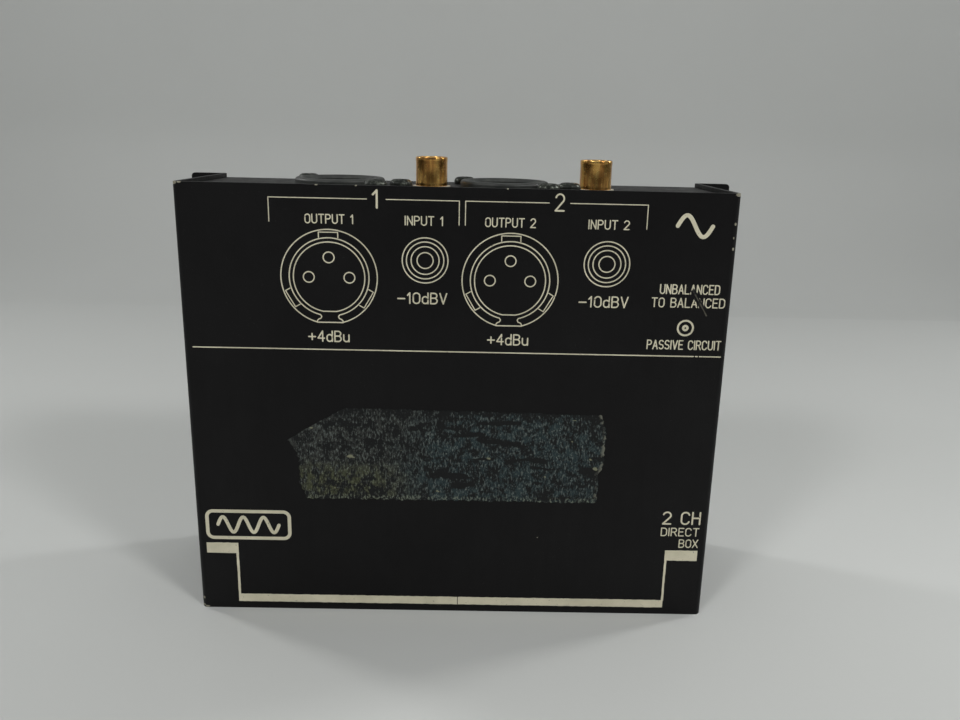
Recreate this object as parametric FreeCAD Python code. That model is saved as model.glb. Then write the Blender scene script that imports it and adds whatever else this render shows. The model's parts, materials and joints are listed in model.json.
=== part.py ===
"""Two-channel passive direct injection box: a folded steel cover with mounting ears over an inner
chassis tray, with phono inputs, balanced three-pin outputs and a step-up transformer per channel.

Frame: +Z up with the connectors on top, +X to the right of the printed face, +Y to the mounting plane.
The origin is under the middle of the box, on the surface that it stands on.
"""

import FreeCAD
import Part
import math
import os

# ---- driving dimensions, in millimetres ----
BOX_WIDTH = 140.7       # across the printed face
BOX_HEIGHT = 118.5      # length of the cover, cut straight at both ends
BOX_DEPTH = 38.1        # printed face to mounting plane
SHEET = 1.2             # steel sheet
BEND = 1.6              # outer radius of every fold
EAR_WIDTH = 9.2         # mounting ear beyond the cover's wall
EAR_CORNER = 1.0
EAR_HOLE_R = 2.25
EAR_HOLE_SPAN = 88.9    # between the two holes of one ear
PANEL_RECESS = 1.1      # connector panel and end panel below the cover's cut edges
TRAY_GAP = 0.25         # tray to cover wall
TRAY_FRONT_GAP = 0.3    # panel and end panel to the back of the printed face
CLINCH_HOLE_R = 2.1     # for pressed-in nuts and standoffs
CLINCH_NUT = (3.1, 2.0)  # radius and thickness inside the lip
COVER_SCREW = 7.0
LIP_DEPTH = 12.0        # side lips of the tray
LIP_MARGIN = 8.0        # from the ends of the box to the ends of the lips

CHANNEL_PITCH = 44.45
XLR_X = -32.4           # output 1
RCA_X = -7.7            # input 1
AXIS_FROM_FACE = 19.05  # depth of every connector axis behind the printed face

XLR_COLLAR_R = 11.95
XLR_HOLE_R = 12.1
XLR_PROUD = 1.85
XLR_FLANGE = (27.8, 27.8, 2.8)
XLR_BARREL_R = 11.3
XLR_LENGTH = 22.0       # behind the panel
XLR_CAVITY_R = 9.5
XLR_CAVITY_DEPTH = 15.5
XLR_LEAD_IN = 0.9
XLR_PIN_R = 1.2
XLR_PIN_CIRCLE_R = 5.2
XLR_SCREW = (11.0, 11.0)  # half of the fixing pattern, on a diagonal of the flange
XLR_NOTCH = (4.6, 1.6, 8.0)
XLR_BOSS = (2.6, 6.2)   # radius of the screw bosses and their depth under the panel
XLR_TAIL_Z = (90.0, 90.0, 92.5)
XLR_PIN_TOPS = (0.3, -0.2, -0.2)  # tips of the pins from the panel's outer face
XLR_PIN_COLLAR = (2.2, 0.8)  # radius and height of the raised ring round each pin
XLR_FLANGE_CORNER = 3.0
XLR_COLLAR_ROUND = 0.8
XLR_SCREW_TWIST = 35
TAIL = 0.5              # half the side of a square contact tail

RCA_SHELL_R = 4.3       # above the panel
RCA_STEM_R = 3.95       # below its shoulder
RCA_WALL = 0.8
RCA_RIM = 0.35
RCA_LUG = (3.55, 0.4, 1.6)  # distance from the axis, thickness, width
RCA_PROUD = 7.8
RCA_FLOOR = 2.0         # material of the block under the shell
RCA_PLUG_SUNK = 0.8     # insulator below the shell's rim
RCA_PLUG_LIP = 2.0      # thickness of the insulator's top
RCA_CONTACT = (0.4, 2.9, 0.6, 5.0)  # room round it, top below the rim, floor, slits from the bottom
RCA_CONTACT_SLIT = 0.2  # half width
RCA_BOSS_R = 5.1
RCA_BOSS_PROUD = 0.1
RCA_HOLE_R = 5.3
RCA_BLOCK = (15.7, 22.3, 12.0)
RCA_BLOCK_SIDE = 5.8    # from the jack's axis to the block's right side
RCA_BLOCK_CORNER = 1.0
RCA_SCREW = (-7.7, -6.0)
RCA_SCREW_LENGTH = 9.5
RCA_SCREW_TWIST = 20
RCA_CENTRE_R = 1.7

SCREW_HEAD_R = 2.95
SCREW_HEAD = 2.0
SCREW_CROWN = 1.2       # rounding of the head
SCREW_CROSS = (1.6, 0.4, 1.1)  # half length, half width and depth of the driver recess
SCREW_TIP = (0.6, 0.5)  # length of the point and how much it narrows
SCREW_SHANK_R = 1.45
SCREW_HOLE_R = 1.7
CLEARANCE = 0.05

BOARD = (120.0, 78.0, 1.6)
BOARD_TOP_GAP = 7.9     # connector panel's outer face to the board's edge
BOARD_CORNER = 1.5
BOARD_HOLE_R = {"tail": 0.75, "transformer": 0.6, "lead": 0.5}
LEAD_R = 0.3
LEAD_PROUD = 1.2        # every tail and lead past the back of the board
STANDOFF = 3.7
STANDOFF_FLATS = 5.5
STANDOFF_INSET = 6.0

CORE = (24.0, 8.0, 20.0)  # lamination width, stack, height
CORE_LEG = 7.2
CORE_YOKE = 3.6
CORE_Z = 62.0
CORE_OFF_BOARD = 2.0    # coil to the board
BOBBIN_WALL = 0.9
BOBBIN_GAP = 0.1        # to the core on every side
BOBBIN_RAIL = (1.6, 2.6)  # how far the pin rails reach in over the coil and out past the spool
COIL_CORNER = 1.2
COIL_INSET = (0.3, 1.7, 0.15)  # coil inside the spool's ends across, outwards and off its tube
TRANSFORMER_PIN_R = 0.35
TRANSFORMER_PIN_PITCH = 4.0
TRANSFORMER_PIN_ROOT = 3.4  # inside the rail, from the board

RESISTOR_Z = (45.5, 40.5)
RESISTOR_PITCH = 10.16
RESISTOR = (1.0, 1.25, 3.2, 1.5)  # radius, radius of the ends, half length, length of an end
RESISTOR_OFF_BOARD = 1.6
CAPACITOR = (7.2, 6.5, 2.5)
CAPACITOR_Z = 79.0
CAPACITOR_PITCH = 5.0
CAPACITOR_OFF_BOARD = 0.3
CAPACITOR_ROUND = 0.3

# ---- places worked out from them ----
FACE_Y = -BOX_DEPTH / 2
BACK_Y = BOX_DEPTH / 2
AXIS_Y = FACE_Y + AXIS_FROM_FACE
PANEL_Z = BOX_HEIGHT - PANEL_RECESS
PANEL_UNDER_Z = PANEL_Z - SHEET
WALL_X = BOX_WIDTH / 2
TRAY_X = WALL_X - SHEET - TRAY_GAP
BASE_Y = BACK_Y - SHEET
BOARD_BACK_Y = BASE_Y - STANDOFF
BOARD_FRONT_Y = BOARD_BACK_Y - BOARD[2]
BOARD_TOP_Z = PANEL_Z - BOARD_TOP_GAP
BOARD_LOW_Z = BOARD_TOP_Z - BOARD[1]
LEAD_END_Y = BOARD_BACK_Y + LEAD_PROUD
SIDE_SCREW_Y = BASE_Y - LIP_DEPTH / 2
SIDE_SCREW_Z = (20.0, BOX_HEIGHT - 20.0)
RCA_FLOOR_Z = PANEL_UNDER_Z - RCA_BLOCK[2]
RCA_STEM_LOW_Z = RCA_FLOOR_Z + RCA_FLOOR
RCA_TOP_Z = PANEL_Z + RCA_PROUD
RCA_SHOULDER_Z = PANEL_Z + RCA_BOSS_PROUD
XLR_TOP_Z = PANEL_Z + XLR_PROUD
XLR_FLOOR_Z = XLR_TOP_Z - XLR_CAVITY_DEPTH
XLR_LOW_Z = PANEL_UNDER_Z - XLR_LENGTH
XLR_INSERT_LOW_Z = XLR_LOW_Z + 1.0
WINDOW_X = (CORE[0] - CORE_LEG) / 2 - CORE_YOKE
WINDOW_Z = CORE[2] - 2 * CORE_YOKE
COIL = WINDOW_X - 0.4
COIL_HALF_Y = CORE[1] / 2 + COIL
COIL_HALF_X = CORE_LEG / 2 + COIL
CORE_Y = BOARD_FRONT_Y - CORE_OFF_BOARD - COIL_HALF_Y
RESISTOR_Y = BOARD_FRONT_Y - RESISTOR_OFF_BOARD
CHANNELS = (0, 1)
PAST = 1.0              # how far a cutting tool reaches past what it cuts
TINY = 1e-6


def vec(x, y, z):
    return FreeCAD.Vector(x, y, z)


def block(x0, x1, y0, y1, z0, z1):
    """A box between two corners."""
    return Part.makeBox(x1 - x0, y1 - y0, z1 - z0, vec(x0, y0, z0))


def square_block(x, y, half_x, half_y, z0, z1):
    """A box centred on (x, y)."""
    return block(x - half_x, x + half_x, y - half_y, y + half_y, z0, z1)


def rod(radius, start, end):
    """A cylinder from one point to another."""
    return Part.makeCylinder(radius, (end - start).Length, start, end - start)


def post(x, y, radius, z0, z1):
    return rod(radius, vec(x, y, z0), vec(x, y, z1))


def corner_arc(corner, before, after, radius):
    """The arc that rounds a corner, with its first and last points."""
    to_before = (before - corner).normalize()
    to_after = (after - corner).normalize()
    half = to_before.getAngle(to_after) / 2
    cut = radius / math.tan(half)
    first = corner + to_before * cut
    last = corner + to_after * cut
    centre = corner + (to_before + to_after).normalize() * (radius / math.sin(half))
    middle = centre + (corner - centre).normalize() * radius
    return first, Part.Arc(first, middle, last).toShape(), last


def folded_face(corners, place):
    """A face whose corners (u, v, radius) are rounded by tangent arcs; place turns (u, v) into a point."""
    points = [place(u, v) for u, v, _ in corners]
    count = len(points)
    bends = []
    for i, (_, _, radius) in enumerate(corners):
        if radius == 0:
            bends.append((points[i], None, points[i]))
        else:
            bends.append(corner_arc(points[i], points[i - 1], points[(i + 1) % count], radius))
    edges = []
    for i, (_, arc, last) in enumerate(bends):
        if arc is not None:
            edges.append(arc)
        edges.append(Part.LineSegment(last, bends[(i + 1) % count][0]).toShape())
    return Part.Face(Part.Wire(edges))


def rim_edges(solid, z):
    """The flat edges of a solid at one height."""
    return [e for e in solid.Edges if e.BoundBox.ZLength < TINY and abs(e.BoundBox.ZMin - z) < TINY]


def upright_edges(solid, length):
    return [e for e in solid.Edges if e.BoundBox.ZLength > length - TINY]


def fuse(shapes):
    joined = shapes[0].multiFuse(shapes[1:]) if len(shapes) > 1 else shapes[0]
    return joined.removeSplitter()


def pan_screw(length):
    """A pan-head screw under the XY plane, its head above it, with a cross recess."""
    head = post(0, 0, SCREW_HEAD_R, 0, SCREW_HEAD)
    head = head.makeFillet(SCREW_CROWN, rim_edges(head, SCREW_HEAD))
    long, narrow, depth = SCREW_CROSS
    wings = [
        square_block(0, 0, half_x, half_y, SCREW_HEAD - depth, SCREW_HEAD + PAST)
        for half_x, half_y in ((long, narrow), (narrow, long))
    ]
    tip_length, narrowing = SCREW_TIP
    shank = post(0, 0, SCREW_SHANK_R, tip_length - length, 0)
    tip = Part.makeCone(SCREW_SHANK_R - narrowing, SCREW_SHANK_R, tip_length, vec(0, 0, -length))
    return fuse([head.cut(fuse(wings)), shank, tip])


def turned(shape, axis, angle, to):
    placed = shape.copy()
    placed.rotate(vec(0, 0, 0), axis, angle)
    placed.translate(to)
    return placed


# ---- enclosure ----
def ear_places():
    middle = BOX_HEIGHT / 2
    x = WALL_X + EAR_WIDTH / 2
    return [(s * x, middle + t * EAR_HOLE_SPAN / 2) for s in (-1, 1) for t in (-1, 1)]


def side_screw_places():
    return [(s, z) for s in (-1, 1) for z in SIDE_SCREW_Z]


def make_cover():
    """One folded sheet: printed face, two walls and two mounting ears turned outwards."""
    ear_x = WALL_X + EAR_WIDTH
    inner_x = WALL_X - SHEET
    inner_r = BEND - SHEET
    right = [
        (WALL_X, FACE_Y, BEND), (WALL_X, BASE_Y, inner_r), (ear_x, BASE_Y, 0), (ear_x, BACK_Y, 0),
        (inner_x, BACK_Y, BEND), (inner_x, FACE_Y + SHEET, inner_r),
    ]
    left = [(-x, y, r) for x, y, r in reversed(right)]
    sheet = folded_face(right + left, lambda u, v: vec(u, v, 0)).extrude(vec(0, 0, BOX_HEIGHT))
    tips = [
        e for e in sheet.Edges
        if abs(abs(e.CenterOfMass.x) - ear_x) < TINY and abs(e.BoundBox.YLength - SHEET) < TINY
    ]
    sheet = sheet.makeFillet(EAR_CORNER, tips)
    holes = [rod(EAR_HOLE_R, vec(x, BASE_Y - PAST, z), vec(x, BACK_Y + PAST, z)) for x, z in ear_places()]
    for side, z in side_screw_places():
        inside = vec(side * (inner_x - PAST), SIDE_SCREW_Y, z)
        outside = vec(side * (WALL_X + PAST), SIDE_SCREW_Y, z)
        holes.append(rod(SCREW_HOLE_R, inside, outside))
    return sheet.cut(Part.makeCompound(holes))


def make_tray():
    """One folded sheet: base plate, connector panel, end panel and two side lips."""
    front = FACE_Y + SHEET + TRAY_FRONT_GAP
    low, high = PANEL_RECESS, PANEL_Z
    inner_r = BEND - SHEET
    corners = [
        (front, high, 0), (BACK_Y, high, BEND), (BACK_Y, low, BEND), (front, low, 0),
        (front, low + SHEET, 0), (BASE_Y, low + SHEET, inner_r),
        (BASE_Y, high - SHEET, inner_r), (front, high - SHEET, 0),
    ]
    channel = folded_face(corners, lambda u, v: vec(-TRAY_X, u, v)).extrude(vec(2 * TRAY_X, 0, 0))
    lip_low, lip_high = LIP_MARGIN, BOX_HEIGHT - LIP_MARGIN
    for side in (-1, 1):
        edge = sorted((side * (TRAY_X - BEND), side * (TRAY_X + PAST)))
        channel = channel.cut(block(edge[0], edge[1], BASE_Y - PAST, BACK_Y + PAST, lip_low, lip_high))
    lip_y = BASE_Y - LIP_DEPTH
    right = [
        (TRAY_X, BACK_Y, BEND), (TRAY_X, lip_y, 0),
        (TRAY_X - SHEET, lip_y, 0), (TRAY_X - SHEET, BASE_Y, inner_r),
    ]
    left = [(-x, y, r) for x, y, r in reversed(right)]
    lips = folded_face(right + left, lambda u, v: vec(u, v, lip_low)).extrude(vec(0, 0, lip_high - lip_low))
    panel_holes = []
    for n in CHANNELS:
        x = xlr_axis_x(n)
        panel_holes.append((x, AXIS_Y, XLR_HOLE_R))
        panel_holes += [(x + dx, AXIS_Y + dy, SCREW_HOLE_R) for dx, dy in xlr_screw_offsets()]
        x = rca_axis_x(n)
        panel_holes.append((x, AXIS_Y, RCA_HOLE_R))
        panel_holes.append((x + RCA_SCREW[0], AXIS_Y + RCA_SCREW[1], SCREW_HOLE_R))
    holes = [post(x, y, r, PANEL_UNDER_Z - PAST, PANEL_Z + PAST) for x, y, r in panel_holes]
    for x, z in standoff_places():
        holes.append(rod(CLINCH_HOLE_R, vec(x, BASE_Y - PAST, z), vec(x, BACK_Y + PAST, z)))
    for side, z in side_screw_places():
        inside = vec(side * (TRAY_X - SHEET - PAST), SIDE_SCREW_Y, z)
        outside = vec(side * (TRAY_X + PAST), SIDE_SCREW_Y, z)
        holes.append(rod(CLINCH_HOLE_R, inside, outside))
    return fuse([channel, lips]).cut(Part.makeCompound(holes))


def make_cover_screws():
    screw = pan_screw(COVER_SCREW)
    return [
        turned(screw, vec(0, 1, 0), side * 90, vec(side * WALL_X, SIDE_SCREW_Y, z))
        for side, z in side_screw_places()
    ]


def make_clinch_nuts():
    """Nuts pressed into the tray's lips; each has a shank that fills the lip's hole."""
    collar_r, thickness = CLINCH_NUT
    nut = fuse([post(0, 0, collar_r, -thickness, 0), post(0, 0, CLINCH_HOLE_R - CLEARANCE, 0, SHEET)])
    nut = nut.cut(post(0, 0, SCREW_SHANK_R + CLEARANCE, -thickness - PAST, SHEET + PAST))
    return [
        turned(nut, vec(0, 1, 0), side * 90, vec(side * (TRAY_X - SHEET), SIDE_SCREW_Y, z))
        for side, z in side_screw_places()
    ]


# ---- circuit board and its fixings ----
def standoff_places():
    x = BOARD[0] / 2 - STANDOFF_INSET
    heights = (BOARD_LOW_Z + STANDOFF_INSET, BOARD_TOP_Z - STANDOFF_INSET)
    return [(s * x, z) for s in (-1, 1) for z in heights]


def make_standoffs():
    """Hexagonal spacers pressed flush into the base plate."""
    across = STANDOFF_FLATS / math.sqrt(3)
    corners = [math.radians(60 * k) for k in range(7)]
    foot_floor = 0.5
    solids = []
    for x, z in standoff_places():
        ring = [vec(x + across * math.cos(a), BOARD_BACK_Y, z + across * math.sin(a)) for a in corners]
        hexagon = Part.Face(Part.makePolygon(ring)).extrude(vec(0, STANDOFF, 0))
        foot = rod(CLINCH_HOLE_R - CLEARANCE, vec(x, BASE_Y, z), vec(x, BACK_Y, z))
        start, end = vec(x, BOARD_BACK_Y - PAST, z), vec(x, BACK_Y - foot_floor, z)
        bore = rod(SCREW_SHANK_R + CLEARANCE, start, end)
        solids.append(fuse([hexagon, foot]).cut(bore))
    return solids


def make_board_screws():
    screw = pan_screw(BOARD[2] + STANDOFF + 0.3)
    return [turned(screw, vec(1, 0, 0), 90, vec(x, BOARD_FRONT_Y, z)) for x, z in standoff_places()]


def make_board():
    x = BOARD[0] / 2
    board = block(-x, x, BOARD_FRONT_Y, BOARD_BACK_Y, BOARD_LOW_Z, BOARD_TOP_Z)
    corners = [e for e in board.Edges if e.BoundBox.YLength > BOARD[2] - TINY]
    board = board.makeFillet(BOARD_CORNER, corners)
    holes = [(px, pz, SCREW_HOLE_R) for px, pz in standoff_places()]
    for n in CHANNELS:
        holes += [(px, pz, BOARD_HOLE_R["tail"]) for px, pz, _ in xlr_tail_places(n)]
        holes += [(px, pz, BOARD_HOLE_R["tail"]) for px, pz in rca_tail_places(n)]
        holes += [(px, pz, BOARD_HOLE_R["transformer"]) for px, pz in transformer_pin_places(n)]
        holes += [(px, pz, BOARD_HOLE_R["lead"]) for px, pz in lead_places(n)]
    front, back = BOARD_FRONT_Y - PAST, BOARD_BACK_Y + PAST
    drills = [rod(r, vec(px, front, pz), vec(px, back, pz)) for px, pz, r in holes]
    return board.cut(Part.makeCompound(drills))


# ---- balanced outputs ----
def xlr_axis_x(n):
    return XLR_X + n * CHANNEL_PITCH


def xlr_screw_offsets():
    """One screw near the printed face on the right, the other far from it on the left."""
    return [(XLR_SCREW[0], -XLR_SCREW[1]), (-XLR_SCREW[0], XLR_SCREW[1])]


def xlr_pin_offsets():
    r = XLR_PIN_CIRCLE_R
    return [(-r, 0.0), (r, 0.0), (0.0, r)]


def xlr_tail_places(n):
    """Where each pin's tail goes through the board: x, z and the pin's own depth."""
    x = xlr_axis_x(n)
    return [(x + dx, z, AXIS_Y + dy) for (dx, dy), z in zip(xlr_pin_offsets(), XLR_TAIL_Z)]


def make_xlr_shell(n):
    """Housing with a flange behind the panel, a barrel and a rounded collar round the open cavity."""
    x = xlr_axis_x(n)
    fx, fy, ft = XLR_FLANGE
    flange_low = PANEL_UNDER_Z - ft
    flange = square_block(x, AXIS_Y, fx / 2, fy / 2, flange_low, PANEL_UNDER_Z)
    flange = flange.makeFillet(XLR_FLANGE_CORNER, upright_edges(flange, ft))
    barrel = post(x, AXIS_Y, XLR_BARREL_R, XLR_LOW_Z, PANEL_UNDER_Z)
    collar = post(x, AXIS_Y, XLR_COLLAR_R, flange_low, XLR_TOP_Z)
    collar = collar.makeFillet(XLR_COLLAR_ROUND, rim_edges(collar, XLR_TOP_Z))
    boss_r, boss_depth = XLR_BOSS
    boss_low = PANEL_UNDER_Z - boss_depth
    places = [(x + dx, AXIS_Y + dy) for dx, dy in xlr_screw_offsets()]
    bosses = [post(px, py, boss_r, boss_low, flange_low + 0.5) for px, py in places]
    shell = fuse([flange, barrel, collar] + bosses)
    width, depth, height = XLR_NOTCH
    notch_front = AXIS_Y - XLR_CAVITY_R - depth
    notch_back = AXIS_Y - XLR_CAVITY_R + PAST
    notch_z = (XLR_TOP_Z - height, XLR_TOP_Z - 1.2)
    mouth_low = XLR_TOP_Z - XLR_LEAD_IN
    cuts = [
        post(x, AXIS_Y, XLR_CAVITY_R, XLR_LOW_Z - PAST, XLR_TOP_Z + PAST),
        Part.makeCone(XLR_CAVITY_R, XLR_CAVITY_R + XLR_LEAD_IN, XLR_LEAD_IN, vec(x, AXIS_Y, mouth_low)),
        block(x - width / 2, x + width / 2, notch_front, notch_back, notch_z[0], notch_z[1]),
    ]
    pilot_r, pilot_low = SCREW_SHANK_R + CLEARANCE, boss_low + 0.6
    cuts += [post(px, py, pilot_r, pilot_low, PANEL_UNDER_Z + PAST) for px, py in places]
    for tool in cuts:
        shell = shell.cut(tool)
    return shell


def make_xlr_insert(n):
    """Insulating disc that closes the barrel and holds the three pins."""
    x = xlr_axis_x(n)
    ring_r, ring_height = XLR_PIN_COLLAR
    low, high = XLR_INSERT_LOW_Z, XLR_FLOOR_Z
    places = [(x + dx, AXIS_Y + dy) for dx, dy in xlr_pin_offsets()]
    rings = [post(px, py, ring_r, low, high + ring_height) for px, py in places]
    disc = fuse([post(x, AXIS_Y, XLR_CAVITY_R - CLEARANCE, low, high)] + rings)
    for px, py in places:
        disc = disc.cut(post(px, py, XLR_PIN_R + CLEARANCE / 2, low - PAST, high + 2 * PAST))
    return disc


def make_xlr_pins(n):
    """Round contact pins with square tails that turn towards the board."""
    x = xlr_axis_x(n)
    low = XLR_INSERT_LOW_Z
    solids = []
    for (dx, dy), (_, tail_z, _), proud in zip(xlr_pin_offsets(), xlr_tail_places(n), XLR_PIN_TOPS):
        px, py, top = x + dx, AXIS_Y + dy, PANEL_Z + proud
        pin = post(px, py, XLR_PIN_R, low, top)
        pin = pin.makeFillet(XLR_PIN_R * 0.75, rim_edges(pin, top))
        down = square_block(px, py, TAIL, TAIL, tail_z - TAIL, low + PAST)
        across = block(px - TAIL, px + TAIL, py - TAIL, LEAD_END_Y, tail_z - TAIL, tail_z + TAIL)
        solids.append(fuse([pin, down, across]))
    return solids


def make_xlr_screws(n):
    x = xlr_axis_x(n)
    screw = pan_screw(SHEET + XLR_BOSS[1] - 1.0)
    return [
        turned(screw, vec(0, 0, 1), XLR_SCREW_TWIST, vec(x + dx, AXIS_Y + dy, PANEL_Z))
        for dx, dy in xlr_screw_offsets()
    ]


# ---- phono inputs ----
def rca_axis_x(n):
    return RCA_X + n * CHANNEL_PITCH


def rca_tail_places(n):
    """Centre contact and shell lug, where they go through the board."""
    x = rca_axis_x(n)
    return [(x, RCA_FLOOR_Z - 1.5), (x + RCA_LUG[0] + RCA_LUG[1] / 2, RCA_FLOOR_Z - 4.0)]


def make_rca_body(n):
    """Moulded block on the board with a boss that fills the panel's hole."""
    x = rca_axis_x(n)
    bx, by, bz = RCA_BLOCK
    right = x + RCA_BLOCK_SIDE
    body = block(right - bx, right, BOARD_FRONT_Y - by, BOARD_FRONT_Y, RCA_FLOOR_Z, PANEL_UNDER_Z)
    body = body.makeFillet(RCA_BLOCK_CORNER, upright_edges(body, bz))
    body = fuse([body, post(x, AXIS_Y, RCA_BOSS_R, PANEL_UNDER_Z - PAST, RCA_SHOULDER_Z)])
    distance, thickness, width = RCA_LUG
    gap = 2 * CLEARANCE
    lug_y = width / 2 + gap
    screw_x, screw_y = x + RCA_SCREW[0], AXIS_Y + RCA_SCREW[1]
    screw_low = PANEL_Z - RCA_SCREW_LENGTH - 0.7
    cuts = [
        post(x, AXIS_Y, RCA_STEM_R + CLEARANCE / 2, RCA_STEM_LOW_Z, PANEL_Z + PAST),
        post(x, AXIS_Y, 2 * TAIL, RCA_FLOOR_Z - PAST, PANEL_Z),
        block(x + distance - gap, x + distance + thickness + gap, AXIS_Y - lug_y, AXIS_Y + lug_y,
              RCA_FLOOR_Z - PAST, RCA_STEM_LOW_Z + PAST),
        post(screw_x, screw_y, SCREW_SHANK_R + CLEARANCE, screw_low, PANEL_UNDER_Z + PAST),
    ]
    for tool in cuts:
        body = body.cut(tool)
    return body


def make_rca_shell(n):
    """Drawn outer contact with a rounded rim and a lug that turns towards the board."""
    x = rca_axis_x(n)
    tube = post(x, AXIS_Y, RCA_SHELL_R, RCA_SHOULDER_Z, RCA_TOP_Z)
    tube = tube.makeFillet(RCA_RIM, rim_edges(tube, RCA_TOP_Z))
    tube = fuse([tube, post(x, AXIS_Y, RCA_STEM_R, RCA_STEM_LOW_Z, RCA_SHOULDER_Z)])
    tube = tube.cut(post(x, AXIS_Y, RCA_SHELL_R - RCA_WALL, RCA_STEM_LOW_Z - PAST, RCA_TOP_Z + PAST))
    distance, thickness, width = RCA_LUG
    near, far = x + distance, x + distance + thickness
    side = width / 2
    tail_z = rca_tail_places(n)[1][1]
    leg = block(near, far, AXIS_Y - side, AXIS_Y + side, tail_z - TAIL, RCA_STEM_LOW_Z + 0.4)
    foot = block(near, far, AXIS_Y - side, LEAD_END_Y, tail_z - TAIL, tail_z + TAIL)
    return fuse([tube, leg, foot])


def make_rca_insulator(n):
    """Insulator inside the shell, bored for the centre contact."""
    x = rca_axis_x(n)
    low, high = RCA_STEM_LOW_Z, RCA_TOP_Z - RCA_PLUG_SUNK
    lip_low = high - RCA_PLUG_LIP
    plug = post(x, AXIS_Y, RCA_SHELL_R - RCA_WALL - CLEARANCE / 2, low, high)
    cuts = [
        post(x, AXIS_Y, RCA_CENTRE_R, lip_low - PAST, high + PAST),
        post(x, AXIS_Y, RCA_CENTRE_R + RCA_CONTACT[0], low + PAST, lip_low),
        post(x, AXIS_Y, 0.9, low - PAST, low + 2 * PAST),
    ]
    for tool in cuts:
        plug = plug.cut(tool)
    return plug


def make_rca_contact(n):
    """Spring sleeve for the plug's pin, with a tail that turns towards the board."""
    x = rca_axis_x(n)
    room, sunk, floor, slit_from = RCA_CONTACT
    low, high = RCA_STEM_LOW_Z + PAST, RCA_TOP_Z - sunk
    sleeve = post(x, AXIS_Y, RCA_CENTRE_R + room - CLEARANCE, low, high)
    sleeve = sleeve.cut(post(x, AXIS_Y, RCA_CENTRE_R - 0.1, low + floor, high + PAST))
    reach = RCA_CENTRE_R + PAST
    for half_x, half_y in ((reach, RCA_CONTACT_SLIT), (RCA_CONTACT_SLIT, reach)):
        sleeve = sleeve.cut(square_block(x, AXIS_Y, half_x, half_y, low + slit_from, high + PAST))
    tail_z = rca_tail_places(n)[0][1]
    down = square_block(x, AXIS_Y, TAIL, TAIL, tail_z - TAIL, low + 0.4)
    across = block(x - TAIL, x + TAIL, AXIS_Y - TAIL, LEAD_END_Y, tail_z - TAIL, tail_z + TAIL)
    return fuse([sleeve, down, across])


def make_rca_screw(n):
    place = vec(rca_axis_x(n) + RCA_SCREW[0], AXIS_Y + RCA_SCREW[1], PANEL_Z)
    return turned(pan_screw(RCA_SCREW_LENGTH), vec(0, 0, 1), RCA_SCREW_TWIST, place)


# ---- transformers ----
def transformer_x(n):
    """Midway between the channel's two connectors."""
    return (XLR_X + RCA_X) / 2 + n * CHANNEL_PITCH


def transformer_pin_places(n):
    x = transformer_x(n)
    z = WINDOW_Z / 2 + 1.2
    steps = [TRANSFORMER_PIN_PITCH * k for k in (-1.5, -0.5, 0.5, 1.5)]
    return [(x + step, CORE_Z + s * z) for s in (-1, 1) for step in steps]


def make_core(n):
    """Stack of E and I laminations: a frame with a centre leg."""
    x = transformer_x(n)
    w, s, h = CORE
    core = square_block(x, CORE_Y, w / 2, s / 2, CORE_Z - h / 2, CORE_Z + h / 2)
    for side in (-1, 1):
        window_x = x + side * (CORE_LEG + WINDOW_X) / 2
        low, high = CORE_Z - WINDOW_Z / 2, CORE_Z + WINDOW_Z / 2
        core = core.cut(square_block(window_x, CORE_Y, WINDOW_X / 2, s, low, high))
    return core


def make_bobbin(n):
    """Spool round the core's centre leg, with a rail at each end that carries the pins."""
    x = transformer_x(n)
    half_z = WINDOW_Z / 2 - BOBBIN_GAP
    bore_x, bore_y = CORE_LEG / 2 + BOBBIN_GAP, CORE[1] / 2 + BOBBIN_GAP
    low, high = CORE_Z - half_z, CORE_Z + half_z
    pieces = [square_block(x, CORE_Y, bore_x + BOBBIN_WALL, bore_y + BOBBIN_WALL, low, high)]
    rail_in, rail_out = BOBBIN_RAIL
    rail_front = CORE_Y + COIL_HALF_Y - rail_in
    for side in (-1, 1):
        inner, outer = CORE_Z + side * (half_z - BOBBIN_WALL), CORE_Z + side * half_z
        z0, z1 = sorted((inner, outer))
        pieces.append(square_block(x, CORE_Y, COIL_HALF_X, COIL_HALF_Y, z0, z1))
        z0, z1 = sorted((inner, outer + side * rail_out))
        pieces.append(block(x - COIL_HALF_X, x + COIL_HALF_X, rail_front, BOARD_FRONT_Y, z0, z1))
    bobbin = fuse(pieces).cut(square_block(x, CORE_Y, bore_x, bore_y, low - PAST, high + PAST))
    for px, pz in transformer_pin_places(n):
        start, end = vec(px, CORE_Y, pz), vec(px, BOARD_FRONT_Y + PAST, pz)
        bobbin = bobbin.cut(rod(TRANSFORMER_PIN_R + 0.02, start, end))
    return bobbin


def make_winding(n):
    """The taped coil that fills the spool."""
    x = transformer_x(n)
    end_gap, outer_gap, tube_gap = COIL_INSET
    half_z = WINDOW_Z / 2 - BOBBIN_GAP - BOBBIN_WALL - 0.1
    low, high = CORE_Z - half_z, CORE_Z + half_z
    coil = square_block(x, CORE_Y, COIL_HALF_X - end_gap, COIL_HALF_Y - outer_gap, low, high)
    coil = coil.makeFillet(COIL_CORNER, upright_edges(coil, high - low))
    bore_x = CORE_LEG / 2 + BOBBIN_WALL + tube_gap
    bore_y = CORE[1] / 2 + BOBBIN_WALL + tube_gap
    return coil.cut(square_block(x, CORE_Y, bore_x, bore_y, low - PAST, high + PAST))


def make_transformer_pins(n):
    start = BOARD_FRONT_Y - TRANSFORMER_PIN_ROOT
    return [
        rod(TRANSFORMER_PIN_R, vec(px, start, pz), vec(px, LEAD_END_Y, pz))
        for px, pz in transformer_pin_places(n)
    ]


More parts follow.
